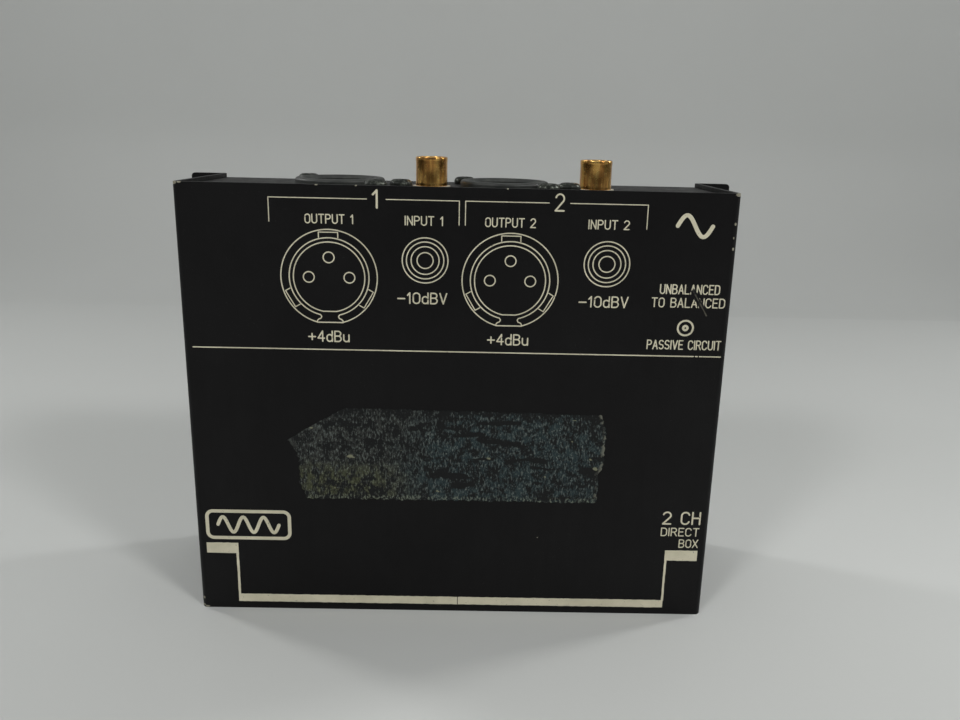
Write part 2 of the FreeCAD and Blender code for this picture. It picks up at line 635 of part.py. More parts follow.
# ---- small components of each channel's damping network ----
def lead_places(n):
    x = transformer_x(n)
    resistor = [(x + s * RESISTOR_PITCH / 2, z) for z in RESISTOR_Z for s in (-1, 1)]
    return resistor + [(x + s * CAPACITOR_PITCH / 2, CAPACITOR_Z) for s in (-1, 1)]


def make_resistors(n):
    """Axial bodies with swollen ends, lying just off the board and bored for the lead."""
    x = transformer_x(n)
    radius, end_r, half, end = RESISTOR
    solids = []
    for z in RESISTOR_Z:
        parts = [rod(radius, vec(x - half, RESISTOR_Y, z), vec(x + half, RESISTOR_Y, z))]
        for side in (-1, 1):
            outer = vec(x + side * half, RESISTOR_Y, z)
            parts.append(rod(end_r, outer, vec(x + side * (half - end), RESISTOR_Y, z)))
        bore = rod(LEAD_R + 0.02, vec(x - half - PAST, RESISTOR_Y, z), vec(x + half + PAST, RESISTOR_Y, z))
        solids.append(fuse(parts).cut(bore))
    return solids


def make_capacitor(n):
    x = transformer_x(n)
    cx, cy, cz = CAPACITOR
    back = BOARD_FRONT_Y - CAPACITOR_OFF_BOARD
    low, high = CAPACITOR_Z - cz / 2, CAPACITOR_Z + cz / 2
    case = block(x - cx / 2, x + cx / 2, back - cy, back, low, high)
    return case.makeFillet(CAPACITOR_ROUND, case.Edges)


def make_leads():
    """Tinned wires: one bent wire through each resistor, two straight ones under each capacitor."""
    solids = []
    for n in CHANNELS:
        x = transformer_x(n)
        for z in RESISTOR_Z:
            left = vec(x - RESISTOR_PITCH / 2, RESISTOR_Y, z)
            right = vec(x + RESISTOR_PITCH / 2, RESISTOR_Y, z)
            legs = [rod(LEAD_R, bend, vec(bend.x, LEAD_END_Y, z)) for bend in (left, right)]
            elbows = [Part.makeSphere(LEAD_R, bend) for bend in (left, right)]
            solids.append(fuse([rod(LEAD_R, left, right)] + legs + elbows))
        for s in (-1, 1):
            px = x + s * CAPACITOR_PITCH / 2
            start = vec(px, BOARD_FRONT_Y - CAPACITOR_OFF_BOARD, CAPACITOR_Z)
            solids.append(rod(LEAD_R, start, vec(px, LEAD_END_Y, CAPACITOR_Z)))
    return solids


def save(name, shapes):
    """Write one node; identical pieces are written together as separate solids."""
    shape = Part.makeCompound(shapes) if isinstance(shapes, list) else shapes
    for solid in shape.Solids:
        if not solid.isValid():
            print("invalid solid in", name)
    shape.exportStep(os.path.join("parts", name + ".step"))


def main():
    os.makedirs("parts", exist_ok=True)
    save("cover", make_cover())
    save("chassis_tray", make_tray())
    save("cover_screws", make_cover_screws())
    save("clinch_nuts", make_clinch_nuts())
    save("board_standoffs", make_standoffs())
    save("circuit_board", make_board())
    save("board_screws", make_board_screws())
    save("component_leads", make_leads())
    per_channel = {
        "xlr_shell": make_xlr_shell,
        "xlr_insert": make_xlr_insert,
        "xlr_pins": make_xlr_pins,
        "xlr_screws": make_xlr_screws,
        "rca_body": make_rca_body,
        "rca_shell": make_rca_shell,
        "rca_insulator": make_rca_insulator,
        "rca_contact": make_rca_contact,
        "rca_screw": make_rca_screw,
        "transformer_core": make_core,
        "transformer_bobbin": make_bobbin,
        "transformer_winding": make_winding,
        "transformer_pins": make_transformer_pins,
        "resistors": make_resistors,
        "capacitor": make_capacitor,
    }
    for name, make in per_channel.items():
        for n in CHANNELS:
            save(f"{name}_{n + 1}", make(n))


main()
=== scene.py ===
"""Looks of the two-channel direct injection box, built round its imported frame.

Everything is in metres, in the frame's own axes: the printed face looks towards -Y, the connectors
stand up along +Z and the origin is under the middle of the box.
"""

import json
import math

import bmesh
import bpy
import numpy as np
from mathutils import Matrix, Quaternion, Vector


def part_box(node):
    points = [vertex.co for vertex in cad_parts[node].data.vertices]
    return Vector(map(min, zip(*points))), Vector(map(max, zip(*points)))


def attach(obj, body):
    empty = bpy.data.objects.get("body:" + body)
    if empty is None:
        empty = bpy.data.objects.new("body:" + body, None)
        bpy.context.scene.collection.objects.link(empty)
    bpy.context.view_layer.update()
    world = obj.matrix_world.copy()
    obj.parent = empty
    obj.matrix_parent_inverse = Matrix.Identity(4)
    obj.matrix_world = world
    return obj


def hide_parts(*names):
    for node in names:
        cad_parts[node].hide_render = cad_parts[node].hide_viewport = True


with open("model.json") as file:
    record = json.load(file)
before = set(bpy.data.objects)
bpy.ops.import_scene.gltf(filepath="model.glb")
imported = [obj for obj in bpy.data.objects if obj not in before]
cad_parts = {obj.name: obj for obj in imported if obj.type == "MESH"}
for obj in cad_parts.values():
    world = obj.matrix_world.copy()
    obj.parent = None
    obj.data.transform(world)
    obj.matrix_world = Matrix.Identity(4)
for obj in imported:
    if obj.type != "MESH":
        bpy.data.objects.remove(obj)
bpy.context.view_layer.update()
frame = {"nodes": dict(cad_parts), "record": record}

MM = 0.001
CHANNELS = (1, 2)

# ---- places read from the frame ----
COVER_LOW, COVER_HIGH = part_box("cover")
TRAY_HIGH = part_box("chassis_tray")[1]
FACE_Y = COVER_LOW.y
BOX_HEIGHT = COVER_HIGH.z
WALL_AND_GAP = 1.45 * MM     # from the tray's side out to the cover's side
HALF_WIDTH = TRAY_HIGH.x + WALL_AND_GAP
PRINT_LEFT = -69.70 * MM     # the print is measured from here
PRINT_TOP = BOX_HEIGHT - 0.20 * MM
PANEL_Z = TRAY_HIGH.z


def node_centre(node):
    low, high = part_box(node)
    return (low + high) / 2


# ======================================================================================
# Camera and stage
# ======================================================================================
FOCAL_TO_WIDTH = 721.0 / 960.0
CAMERA_PLACE = Vector((5.07, -197.95, 131.48)) * MM
CAMERA_YAW, CAMERA_PITCH, CAMERA_ROLL = (math.radians(a) for a in (0.65, 12.92, 1.31))


def make_camera():
    """A level look along +Y, turned by yaw, tipped down by pitch and rolled about its own axis."""
    data = bpy.data.cameras.new("camera")
    camera = bpy.data.objects.new("camera", data)
    bpy.context.scene.collection.objects.link(camera)
    forward = Vector((
        math.sin(CAMERA_YAW) * math.cos(CAMERA_PITCH),
        math.cos(CAMERA_YAW) * math.cos(CAMERA_PITCH),
        -math.sin(CAMERA_PITCH),
    ))
    camera.location = CAMERA_PLACE
    camera.rotation_mode = "QUATERNION"
    camera.rotation_quaternion = forward.to_track_quat("-Z", "Y") @ Quaternion((0, 0, 1), CAMERA_ROLL)
    data.sensor_width = 36.0
    data.lens = data.sensor_width * FOCAL_TO_WIDTH
    data.shift_x = -0.0045
    data.shift_y = -0.0633
    data.clip_start = 0.01
    data.clip_end = 20.0
    bpy.context.scene.camera = camera


# ======================================================================================
# Surfaces from arrays
# ======================================================================================
def shaded_object(name, mesh, smooth_angle):
    """An object in the scene for the mesh, smooth but for edges sharper than an angle in degrees."""
    mesh.polygons.foreach_set("use_smooth", np.ones(len(mesh.polygons), bool))
    mesh.set_sharp_from_angle(angle=math.radians(smooth_angle))
    piece = bpy.data.objects.new(name, mesh)
    bpy.context.scene.collection.objects.link(piece)
    return piece


def new_piece(name, points, faces, material, smooth_angle=35.0):
    """A mesh object from whole arrays, welded, with its normals turned outwards."""
    mesh = bpy.data.meshes.new(name)
    mesh.from_pydata(points.tolist(), [], faces.tolist())
    work = bmesh.new()
    work.from_mesh(mesh)
    bmesh.ops.remove_doubles(work, verts=work.verts, dist=1e-7)
    bmesh.ops.dissolve_degenerate(work, dist=1e-8, edges=work.edges)
    bmesh.ops.recalc_face_normals(work, faces=work.faces)
    work.to_mesh(mesh)
    work.free()
    piece = shaded_object(name, mesh, smooth_angle)
    mesh.materials.append(material)
    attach(piece, "root")
    return piece


def grid_faces(rows, columns, wrap_rows=False, wrap_columns=False, start=0):
    """Quads between neighbouring points of a rows by columns grid, as whole index arrays."""
    i = np.arange(rows if wrap_rows else rows - 1)[:, None]
    j = np.arange(columns if wrap_columns else columns - 1)[None, :]
    up, across = (i + 1) % rows, (j + 1) % columns
    quads = np.stack([
        i * columns + j, i * columns + across, up * columns + across, up * columns + j,
    ], axis=-1)
    return quads.reshape(-1, 4) + start


def tube_faces(rows):
    """Faces of a square tube of that many rows of four points, with both of its ends closed."""
    last = 4 * rows
    ends = np.array([[0, 1, 2, 3], [last - 1, last - 2, last - 3, last - 4]])
    return np.concatenate([grid_faces(rows, 4, wrap_columns=True), ends])


def joined(parts):
    """Several (points, faces) pairs as one pair, with the later faces counted on."""
    points = np.concatenate([p for p, _ in parts])
    counts = np.cumsum([0] + [len(p) for p, _ in parts[:-1]])
    faces = np.concatenate([f + c for (_, f), c in zip(parts, counts)])
    return points, faces


def lathe(profile, centre, segments=96):
    """A closed profile of (radius, height) carried round the Z axis: x = r cos a, y = r sin a, z = h."""
    profile = np.asarray(profile, float) * MM
    angle = np.linspace(0, 2 * np.pi, segments, endpoint=False)
    r, h = profile[:, 0][:, None], profile[:, 1][:, None]
    grid = np.stack([r * np.cos(angle), r * np.sin(angle), h + 0 * angle], axis=-1)
    points = grid.reshape(-1, 3) + np.array(centre)
    return points, grid_faces(len(profile), segments, wrap_rows=True, wrap_columns=True)


def rim_of(rows, columns):
    """Indices of a grid's outer points, once round."""
    index = np.arange(rows * columns).reshape(rows, columns)
    return np.concatenate([index[0], index[1:, -1], index[-1, -2::-1], index[-2:0:-1, 0]])


def quarter(centre_r, centre_h, radius, start, end, count=7):
    """Points of a rounding: an arc about (centre_r, centre_h) between two angles in degrees."""
    a = np.radians(np.linspace(start, end, count))
    return np.stack([centre_r + radius * np.cos(a), centre_h + radius * np.sin(a)], axis=-1).tolist()


def softened(node, width, segments=2):
    """A copy of a folded-sheet node with its cut edges rounded by a bevel; it stands for the node."""
    source = frame["nodes"][node]
    mesh = source.data.copy()
    mesh.name = node + "_finished"
    work = bmesh.new()
    work.from_mesh(mesh)
    bmesh.ops.remove_doubles(work, verts=work.verts, dist=1e-6)
    bmesh.ops.dissolve_limit(work, angle_limit=math.radians(0.2), verts=work.verts, edges=work.edges)
    work.to_mesh(mesh)
    work.free()
    piece = shaded_object(node + "_finished", mesh, 40)
    bevel = piece.modifiers.new("soft_edges", "BEVEL")
    bevel.width = width
    bevel.segments = segments
    bevel.limit_method = "ANGLE"
    bevel.angle_limit = math.radians(50)
    bevel.harden_normals = True
    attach(piece, "root")
    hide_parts(node)
    return piece


# ======================================================================================
# Materials
# ======================================================================================
class Net:
    """A material's nodes, written as plain steps."""

    def __init__(self, name):
        self.material = bpy.data.materials.new(name)
        self.material.use_nodes = True
        self.nodes = self.material.node_tree.nodes
        self.links = self.material.node_tree.links
        self.nodes.clear()
        self.shader = self.nodes.new("ShaderNodeBsdfPrincipled")
        output = self.nodes.new("ShaderNodeOutputMaterial")
        self.links.new(self.shader.outputs[0], output.inputs["Surface"])
        self.place = self.nodes.new("ShaderNodeTexCoord").outputs["Object"]

    def feed(self, socket, value):
        if isinstance(value, bpy.types.NodeSocket):
            self.links.new(value, socket)
        else:
            socket.default_value = value

    def math(self, operation, a, b=0.0, clamp=False):
        node = self.nodes.new("ShaderNodeMath")
        node.operation = operation
        node.use_clamp = clamp
        self.feed(node.inputs[0], a)
        self.feed(node.inputs[1], b)
        return node.outputs[0]

    def stretched(self, scale, turn=(0, 0, 0), move=(0, 0, 0)):
        node = self.nodes.new("ShaderNodeMapping")
        self.feed(node.inputs["Vector"], self.place)
        node.inputs["Scale"].default_value = scale
        node.inputs["Rotation"].default_value = turn
        node.inputs["Location"].default_value = move
        return node.outputs[0]

    def noise(self, scale, detail=3.0, roughness=0.55, vector=None, distortion=0.0):
        node = self.nodes.new("ShaderNodeTexNoise")
        self.feed(node.inputs["Vector"], vector or self.place)
        node.inputs["Scale"].default_value = scale
        node.inputs["Detail"].default_value = detail
        node.inputs["Roughness"].default_value = roughness
        node.inputs["Distortion"].default_value = distortion
        return node.outputs["Fac"]

    def cells(self, scale, vector=None, feature="F1"):
        node = self.nodes.new("ShaderNodeTexVoronoi")
        node.feature = feature
        self.feed(node.inputs["Vector"], vector or self.place)
        node.inputs["Scale"].default_value = scale
        return node.outputs["Distance"]

    def wave(self, scale, vector=None, direction="X", distortion=0.0):
        node = self.nodes.new("ShaderNodeTexWave")
        node.bands_direction = direction
        self.feed(node.inputs["Vector"], vector or self.place)
        node.inputs["Scale"].default_value = scale
        node.inputs["Distortion"].default_value = distortion
        return node.outputs["Fac"]

    def span(self, value, low, high, out_low=0.0, out_high=1.0):
        node = self.nodes.new("ShaderNodeMapRange")
        node.interpolation_type = "SMOOTHSTEP"
        self.feed(node.inputs["Value"], value)
        for key, number in (("From Min", low), ("From Max", high), ("To Min", out_low), ("To Max", out_high)):
            node.inputs[key].default_value = number
        return node.outputs["Result"]

    def blend(self, share, a, b):
        node = self.nodes.new("ShaderNodeMix")
        node.data_type = "RGBA"
        self.feed(node.inputs[0], share)
        self.feed(node.inputs[6], a)
        self.feed(node.inputs[7], b)
        return node.outputs[2]

    def bump(self, height, distance, strength=1.0, below=None):
        node = self.nodes.new("ShaderNodeBump")
        node.inputs["Strength"].default_value = strength
        node.inputs["Distance"].default_value = distance
        self.feed(node.inputs["Height"], height)
        if below is not None:
            self.links.new(below, node.inputs["Normal"])
        return node.outputs[0]

    def attribute(self, name):
        node = self.nodes.new("ShaderNodeAttribute")
        node.attribute_name = name
        return node.outputs["Vector"]

    def split(self, vector):
        node = self.nodes.new("ShaderNodeSeparateXYZ")
        self.feed(node.inputs[0], vector)
        return node.outputs[0], node.outputs[1], node.outputs[2]

    def axes(self):
        return self.split(self.place)

    def set(self, **values):
        for name, value in values.items():
            self.feed(self.shader.inputs[name.replace("_", " ")], value)
        return self.material


def rgb(r, g, b):
    return (r, g, b, 1.0)


def black_powder_coat(name, worn):
    """Fine-textured satin black coat; worn is True where folds and cut corners show bare steel."""
    net = Net(name)
    x, y, z = net.axes()
    grain = net.noise(2600, 3, 0.6)
    pits = net.noise(900, 2, 0.5)
    cloud = net.noise(28, 4, 0.6)
    scuff = net.noise(260, 3, 0.7, vector=net.stretched((1.0, 1.0, 0.15), (0.0, 0.5, 0.0)))
    base = net.blend(net.span(cloud, 0.35, 0.7), rgb(0.0026, 0.0023, 0.0027), rgb(0.0046, 0.0044, 0.0048))
    specks = net.span(net.noise(1500, 2, 0.7), 0.66, 0.76)
    dust = net.math("MULTIPLY", specks, net.span(cloud, 0.45, 0.7, 0.1, 0.5))
    base = net.blend(dust, base, rgb(0.028, 0.029, 0.027))
    rough = net.span(net.math("ADD", scuff, net.math("MULTIPLY", cloud, 0.5)), 0.4, 1.1, 0.40, 0.58)
    bump = net.bump(grain, 0.00005, 0.55, net.bump(pits, 0.00006, 0.35))
    metallic = 0.0
    if worn:
        chips = fold_chips(net, x, y, z)
        steel = net.blend(net.noise(1400, 2), rgb(0.16, 0.15, 0.11), rgb(0.50, 0.47, 0.37))
        base = net.blend(chips, base, steel)
        rough = net.math("ADD", rough, net.math("MULTIPLY", chips, -0.08))
        metallic = net.math("MULTIPLY", chips, 0.35)
        bump = net.bump(net.math("SUBTRACT", 1.0, chips), 0.00008, 0.6, bump)
    return net.set(Base_Color=base, Roughness=rough, Metallic=metallic, Normal=bump,
                   Specular_IOR_Level=0.19)


# Places where the coat is gone, in millimetres: x and z of the spot, its half width and half height.
FACE_CHIPS = (
    (-69.9, 118.2, 0.9, 0.45), (-68.4, 118.4, 0.5, 0.3), (69.8, 118.2, 1.0, 0.5),
    (69.35, 110.9, 0.30, 0.40), (69.2, 107.4, 0.20, 0.30), (69.35, 104.6, 0.28, 0.40),
    (-69.6, 3.0, 0.35, 0.40), (-69.7, 0.7, 0.45, 0.30), (-68.7, 0.35, 0.60, 0.22),
    (-34.8, 118.4, 0.4, 0.18), (-25.1, 118.4, 0.3, 0.18), (23.2, 23.4, 0.18, 0.15),
    (12.3, 118.4, 0.25, 0.18),
)
SCRATCH_START, SCRATCH_RUN = (59.9, 94.2), (4.4, -7.2)     # x and z, in millimetres


def scratch(net, x, z, half):
    """One diagonal scratch: the distance to a straight line, shaken by noise, between its two ends."""
    length = math.hypot(*SCRATCH_RUN)
    run_x, run_z = SCRATCH_RUN[0] / length, SCRATCH_RUN[1] / length
    off_x = net.math("SUBTRACT", x, SCRATCH_START[0] * MM)
    off_z = net.math("SUBTRACT", z, SCRATCH_START[1] * MM)
    across = net.math("SUBTRACT", net.math("MULTIPLY", off_x, run_z),
                      net.math("MULTIPLY", off_z, run_x))
    along = net.math("ADD", net.math("MULTIPLY", off_x, run_x), net.math("MULTIPLY", off_z, run_z))
    shake = net.math("MULTIPLY", net.math("SUBTRACT", net.noise(900, 4, 0.7), 0.5), 2.2 * half * MM)
    away = net.math("ADD", net.math("ABSOLUTE", across), shake)
    near = net.span(away, 1.1 * half * MM, 0.8 * half * MM)
    inside = net.math("MULTIPLY", net.span(along, 0.0, 0.4 * MM),
                      net.span(along, length * MM, (length - 0.4) * MM))
    return net.math("MULTIPLY", near, inside)


def fold_chips(net, x, y, z):
    """Bare steel at a few listed spots, their outlines shaken by noise, and in pinpricks along the folds."""
    side = net.math("SUBTRACT", HALF_WIDTH, net.math("ABSOLUTE", x))
    front = net.math("SUBTRACT", y, FACE_Y)
    jitter = net.math("MULTIPLY", net.math("SUBTRACT", net.noise(1500, 4, 0.7), 0.5), 2.6)
    sparse = net.span(net.noise(620, 3, 0.6), 0.63, 0.68)
    mask = net.math("MULTIPLY", net.span(net.math("ADD", side, front), 0.9 * MM, 0.6 * MM), sparse)
    shallow = net.span(front, 1.3 * MM, 0.9 * MM)
    for chip_x, chip_z, half_x, half_z in FACE_CHIPS:
        across = net.math("DIVIDE", net.math("SUBTRACT", x, chip_x * MM), half_x * MM)
        along = net.math("DIVIDE", net.math("SUBTRACT", z, chip_z * MM), half_z * MM)
        reach = net.math("ADD", net.math("MULTIPLY", across, across), net.math("MULTIPLY", along, along))
        spot = net.span(net.math("ADD", reach, jitter), 1.1, 0.8)
        mask = net.math("MAXIMUM", mask, net.math("MULTIPLY", spot, shallow))
    return net.math("MAXIMUM", mask, net.math("MULTIPLY", scratch(net, x, z, 0.14), 0.3))


def legend_ink():
    """Screen-printed cream ink, a little uneven, with a few pinholes."""
    net = Net("legend_ink")
    pinholes = net.span(net.noise(1500, 3, 0.6), 0.27, 0.33)
    drift = net.span(net.noise(110, 4, 0.6), 0.3, 0.7)
    tone = net.blend(drift, rgb(0.64, 0.60, 0.45), rgb(0.78, 0.73, 0.56))
    colour = net.blend(pinholes, rgb(0.14, 0.135, 0.11), tone)
    x, _, z = net.axes()
    colour = net.blend(scratch(net, x, z, 0.75), colour, rgb(0.008, 0.008, 0.008))
    return net.set(Base_Color=colour, Roughness=net.span(pinholes, 0, 1, 0.75, 0.6),
                   Normal=net.bump(net.noise(3000, 2), 0.00002, 0.4), Specular_IOR_Level=0.3)


def tape_residue():
    """Dried adhesive: upright fibres and crumbs over black, grey at the left, teal beyond, yellow low left.

    The piece's own "spread" holds u across and v down.
    """
    net = Net("tape_residue")
    u, v, _ = net.split(net.attribute("spread"))
    fibre = net.noise(2100, 3, 0.7, vector=net.stretched((1.0, 1.0, 0.40), (0.0, 0.06, 0.0)))
    crumb = net.noise(2500, 2, 0.6, vector=net.stretched((1.0, 1.0, 0.7)))
    clot = net.noise(420, 4, 0.65, vector=net.stretched((1.0, 1.0, 0.75)))
    patch = net.noise(120, 3, 0.6)
    long_way = net.stretched((0.36, 1.0, 1.7), (0.0, 0.12, 0.0), (0.31, 0.0, 0.07))
    smear = net.noise(165, 3, 0.5, vector=long_way)
    tint = net.blend(net.span(net.math("ADD", u, net.math("MULTIPLY", patch, 0.3)), 0.42, 0.62),
                     rgb(0.042, 0.045, 0.041), rgb(0.026, 0.043, 0.047))
    low_left = net.math("MULTIPLY", net.span(u, 0.42, 0.2), net.span(v, 0.5, 0.75))
    yellow = net.math("MULTIPLY", low_left, net.span(clot, 0.40, 0.55))
    tint = net.blend(yellow, tint, rgb(0.058, 0.062, 0.034))
    tips = net.blend(yellow, rgb(0.105, 0.122, 0.115), rgb(0.13, 0.14, 0.09))
    light = net.blend(net.span(fibre, 0.53, 0.64), tint, tips)
    light = net.blend(net.span(crumb, 0.64, 0.71), light, rgb(0.20, 0.22, 0.20))
    amount = net.math("ADD", fibre, net.math("MULTIPLY", net.math("SUBTRACT", clot, 0.5), 0.95))
    amount = net.math("ADD", amount, net.math("MULTIPLY", net.math("SUBTRACT", patch, 0.5), 0.35))
    right_half = net.span(u, 0.36, 0.60, 0.35, 1.0)
    bare = net.math("MULTIPLY", net.span(smear, 0.55, 0.63, 0.0, 0.34), right_half)
    amount = net.math("SUBTRACT", amount, bare)
    amount = net.math("SUBTRACT", amount, net.span(v, 0.14, 0.0, 0.0, 0.13))
    share = net.span(amount, 0.40, 0.60)
    colour = net.blend(share, rgb(0.0062, 0.0068, 0.0072), light)
    teeth = net.math("MULTIPLY", net.span(v, 0.93, 0.97), net.span(fibre, 0.50, 0.56))
    teeth = net.math("MULTIPLY", teeth, net.span(clot, 0.42, 0.52))
    colour = net.blend(teeth, colour, rgb(0.17, 0.19, 0.15))
    edge = net.math("MULTIPLY", net.span(u, 0.984, 0.996), net.span(clot, 0.46, 0.56))
    colour = net.blend(net.math("MULTIPLY", edge, 0.8), colour, rgb(0.19, 0.19, 0.15))
    flake = net.noise(330, 2, 0.5, vector=net.stretched((0.8, 1.0, 1.1), (0, 0, 0), (0.12, 0.0, 0.05)))
    flake = net.span(flake, 0.72, 0.75)
    colour = net.blend(net.math("MULTIPLY", flake, 0.8), colour, rgb(0.26, 0.26, 0.17))
    rough = net.span(share, 0, 1, 0.5, 0.8)
    return net.set(Base_Color=colour, Roughness=rough, Specular_IOR_Level=0.22,
                   Normal=net.bump(net.math("ADD", fibre, net.math("MULTIPLY", crumb, 0.5)), 0.00012, 0.8))


def gold_plate():
    """Thin gold over brass with a drifting tone, browned in part as a painted reflection of dark
    surroundings; the darker runs down the wall are a painted reflection of them too.
    """
    net = Net("gold_plate")
    lines = net.noise(1.0, 3, 0.6, vector=net.stretched((60, 60, 5200)))
    stain = net.noise(420, 4, 0.6)
    # painted reflection: darker runs streaming down the wall stand in for the dark surroundings the shell
    # mirrors
    runs = net.span(net.noise(900, 3, 0.6, vector=net.stretched((1, 1, 0.10))), 0.42, 0.62)
    # browner than clean gold, in part a painted reflection of dark surroundings
    colour = net.blend(net.span(stain, 0.35, 0.7), rgb(0.78, 0.44, 0.12), rgb(0.92, 0.60, 0.20))
    colour = net.blend(runs, colour, rgb(0.50, 0.24, 0.07))
    rough = net.span(stain, 0.3, 0.8, 0.18, 0.34)
    return net.set(Base_Color=colour, Metallic=1.0, Roughness=rough, Normal=net.bump(lines, 0.00003, 0.35))


def black_nylon():
    """Moulded glass-filled nylon, greyed by handling."""
    net = Net("black_nylon")
    haze = net.noise(240, 4, 0.65)
    colour = net.blend(net.span(haze, 0.35, 0.75), rgb(0.016, 0.018, 0.017), rgb(0.050, 0.054, 0.049))
    return net.set(Base_Color=colour, Roughness=net.span(haze, 0.3, 0.8, 0.42, 0.62),
                   Normal=net.bump(net.noise(2400, 3), 0.00004, 0.5), Specular_IOR_Level=0.5)


def black_screw():
    """Black zinc rubbed to a mottled grey on its high spots."""
    net = Net("black_screw")
    rub = net.span(net.noise(1100, 4, 0.7), 0.48, 0.66)
    colour = net.blend(rub, rgb(0.020, 0.023, 0.020), rgb(0.11, 0.12, 0.10))
    return net.set(Base_Color=colour, Metallic=0.75, Roughness=net.span(rub, 0, 1, 0.5, 0.36),
                   Normal=net.bump(net.noise(2100, 3, 0.6), 0.00006, 0.6))


def ivory_nylon():
    net = Net("ivory_nylon")
    cloud = net.noise(300, 3, 0.6)
    colour = net.blend(cloud, rgb(0.44, 0.41, 0.33), rgb(0.66, 0.63, 0.54))
    return net.set(Base_Color=colour, Roughness=net.span(cloud, 0.3, 0.7, 0.4, 0.55),
                   Normal=net.bump(net.noise(2600, 2), 0.00003, 0.4))


def bright_metal(name, light, dark, grain, rough):
    """Plated or drawn metal whose tone and roughness drift along a fine grain."""
    net = Net(name)
    drift = net.noise(grain, 4, 0.6, vector=net.stretched((1, 1, 0.2)))
    colour = net.blend(net.span(drift, 0.3, 0.7), dark, light)
    return net.set(Base_Color=colour, Metallic=1.0, Roughness=net.span(drift, 0.3, 0.7, rough, rough + 0.15),
                   Normal=net.bump(net.noise(3000, 2), 0.00002, 0.4))


def board_resist():
    """Green resist over copper tracks, with the glass weave just showing."""
    net = Net("circuit_board")
    tracks = net.span(net.wave(55, direction="Z", distortion=1.5), 0.68, 0.74)
    weave = net.math("MULTIPLY", net.wave(420, direction="X"), net.wave(420, direction="Z"))
    colour = net.blend(tracks, rgb(0.010, 0.085, 0.035), rgb(0.022, 0.15, 0.055))
    colour = net.blend(net.math("MULTIPLY", weave, 0.25), colour, rgb(0.03, 0.17, 0.08))
    return net.set(Base_Color=colour, Roughness=net.span(weave, 0, 1, 0.24, 0.34),
                   Normal=net.bump(tracks, 0.00004, 0.7, net.bump(weave, 0.00001, 0.5)))


def laminations():
    """Edges of stacked sheet, dulled with varnish."""
    net = Net("nickel_iron_laminations")
    sheets = net.wave(900, direction="Y", distortion=0.6)
    varnish = net.noise(260, 4, 0.6)
    colour = net.blend(sheets, rgb(0.10, 0.10, 0.10), rgb(0.34, 0.33, 0.32))
    colour = net.blend(net.span(varnish, 0.55, 0.8), colour, rgb(0.16, 0.09, 0.035))
    return net.set(Base_Color=colour, Metallic=0.8, Roughness=net.span(varnish, 0.3, 0.7, 0.35, 0.55),
                   Normal=net.bump(sheets, 0.00008, 0.8))


def coil_tape():
    """Yellow polyester tape wound round the coil, its turns a little uneven."""
    net = Net("coil_tape")
    turns = net.wave(240, direction="Z", distortion=0.8)
    mottling = net.noise(320, 3)
    colour = net.blend(mottling, rgb(0.52, 0.35, 0.05), rgb(0.75, 0.55, 0.12))
    return net.set(Base_Color=colour, Roughness=net.span(mottling, 0.3, 0.7, 0.18, 0.32),
                   Normal=net.bump(turns, 0.00006, 0.5))


def moulded(name, dark, light, rough):
    """Plain moulded or dipped plastic with a soft orange-peel skin."""
    net = Net(name)
    cloud = net.noise(350, 3, 0.6)
    return net.set(Base_Color=net.blend(cloud, dark, light),
                   Roughness=net.span(cloud, 0.3, 0.7, rough, rough + 0.14),
                   Normal=net.bump(net.noise(1700, 2), 0.00004, 0.4))


def resistor_lacquer():
    """Pale blue lacquer with painted rings round the body."""
    net = Net("resistor_lacquer")
    rings = net.span(net.wave(330, direction="X"), 0.78, 0.84)
    body = net.blend(net.noise(500, 3), rgb(0.13, 0.27, 0.34), rgb(0.20, 0.36, 0.44))
    return net.set(Base_Color=net.blend(rings, body, rgb(0.20, 0.05, 0.02)),
                   Roughness=net.span(rings, 0, 1, 0.25, 0.35),
                   Normal=net.bump(net.noise(1500, 2), 0.00003, 0.4))


FINISHES = {
    "black_powder_coat": black_powder_coat("black_powder_coat", False),
    "black_screw": black_screw(),
    "zinc_steel": bright_metal("zinc_steel", rgb(0.62, 0.63, 0.60), rgb(0.36, 0.36, 0.33), 700, 0.28),
    "circuit_board": board_resist(),
    "tinned_wire": bright_metal("tinned_wire", rgb(0.72, 0.72, 0.70), rgb(0.48, 0.48, 0.46), 900, 0.22),
    "black_nylon": black_nylon(),
    "silvered_contact": bright_metal("silvered_contact", rgb(0.82, 0.80, 0.74), rgb(0.50, 0.47, 0.40),
                                     600, 0.18),
    "ivory_nylon": ivory_nylon(),
    "gold_plate": gold_plate(),
    "nickel_iron_laminations": laminations(),
    "bobbin_nylon": moulded("bobbin_nylon", rgb(0.012, 0.012, 0.012), rgb(0.03, 0.03, 0.03), 0.38),
    "coil_tape": coil_tape(),
    "resistor_lacquer": resistor_lacquer(),
    "capacitor_case": moulded("capacitor_case", rgb(0.16, 0.03, 0.02), rgb(0.26, 0.05, 0.03), 0.22),
}


def dress_frame():
    """Every carried-over node gets the finish of its slot in the record."""
    slots = {row["node"]: row["material_slot"] for row in frame["record"]["subparts"]}
    for node, piece in frame["nodes"].items():
        for slot in piece.material_slots:
            slot.material = FINISHES[slots[node]]


# ======================================================================================
# Printed legend: strokes of ink, each a narrow strip carried along its line
# ======================================================================================
INK_FRONT = FACE_Y - 0.03 * MM
INK_BACK = FACE_Y + 0.05 * MM
INK_STAGGER = 0.0014 * MM    # crossing strokes lie one over another, never in one plane


def arc(cx, cy, rx, ry, start, end):
    """Points of an elliptical arc between two angles in degrees."""
    step = 12.0 if rx < 1.0 else 4.0
    count = max(4, int(abs(end - start) / step) + 1)
    a = np.radians(np.linspace(start, end, count))
    return list(zip(cx + rx * np.cos(a), cy + ry * np.sin(a)))


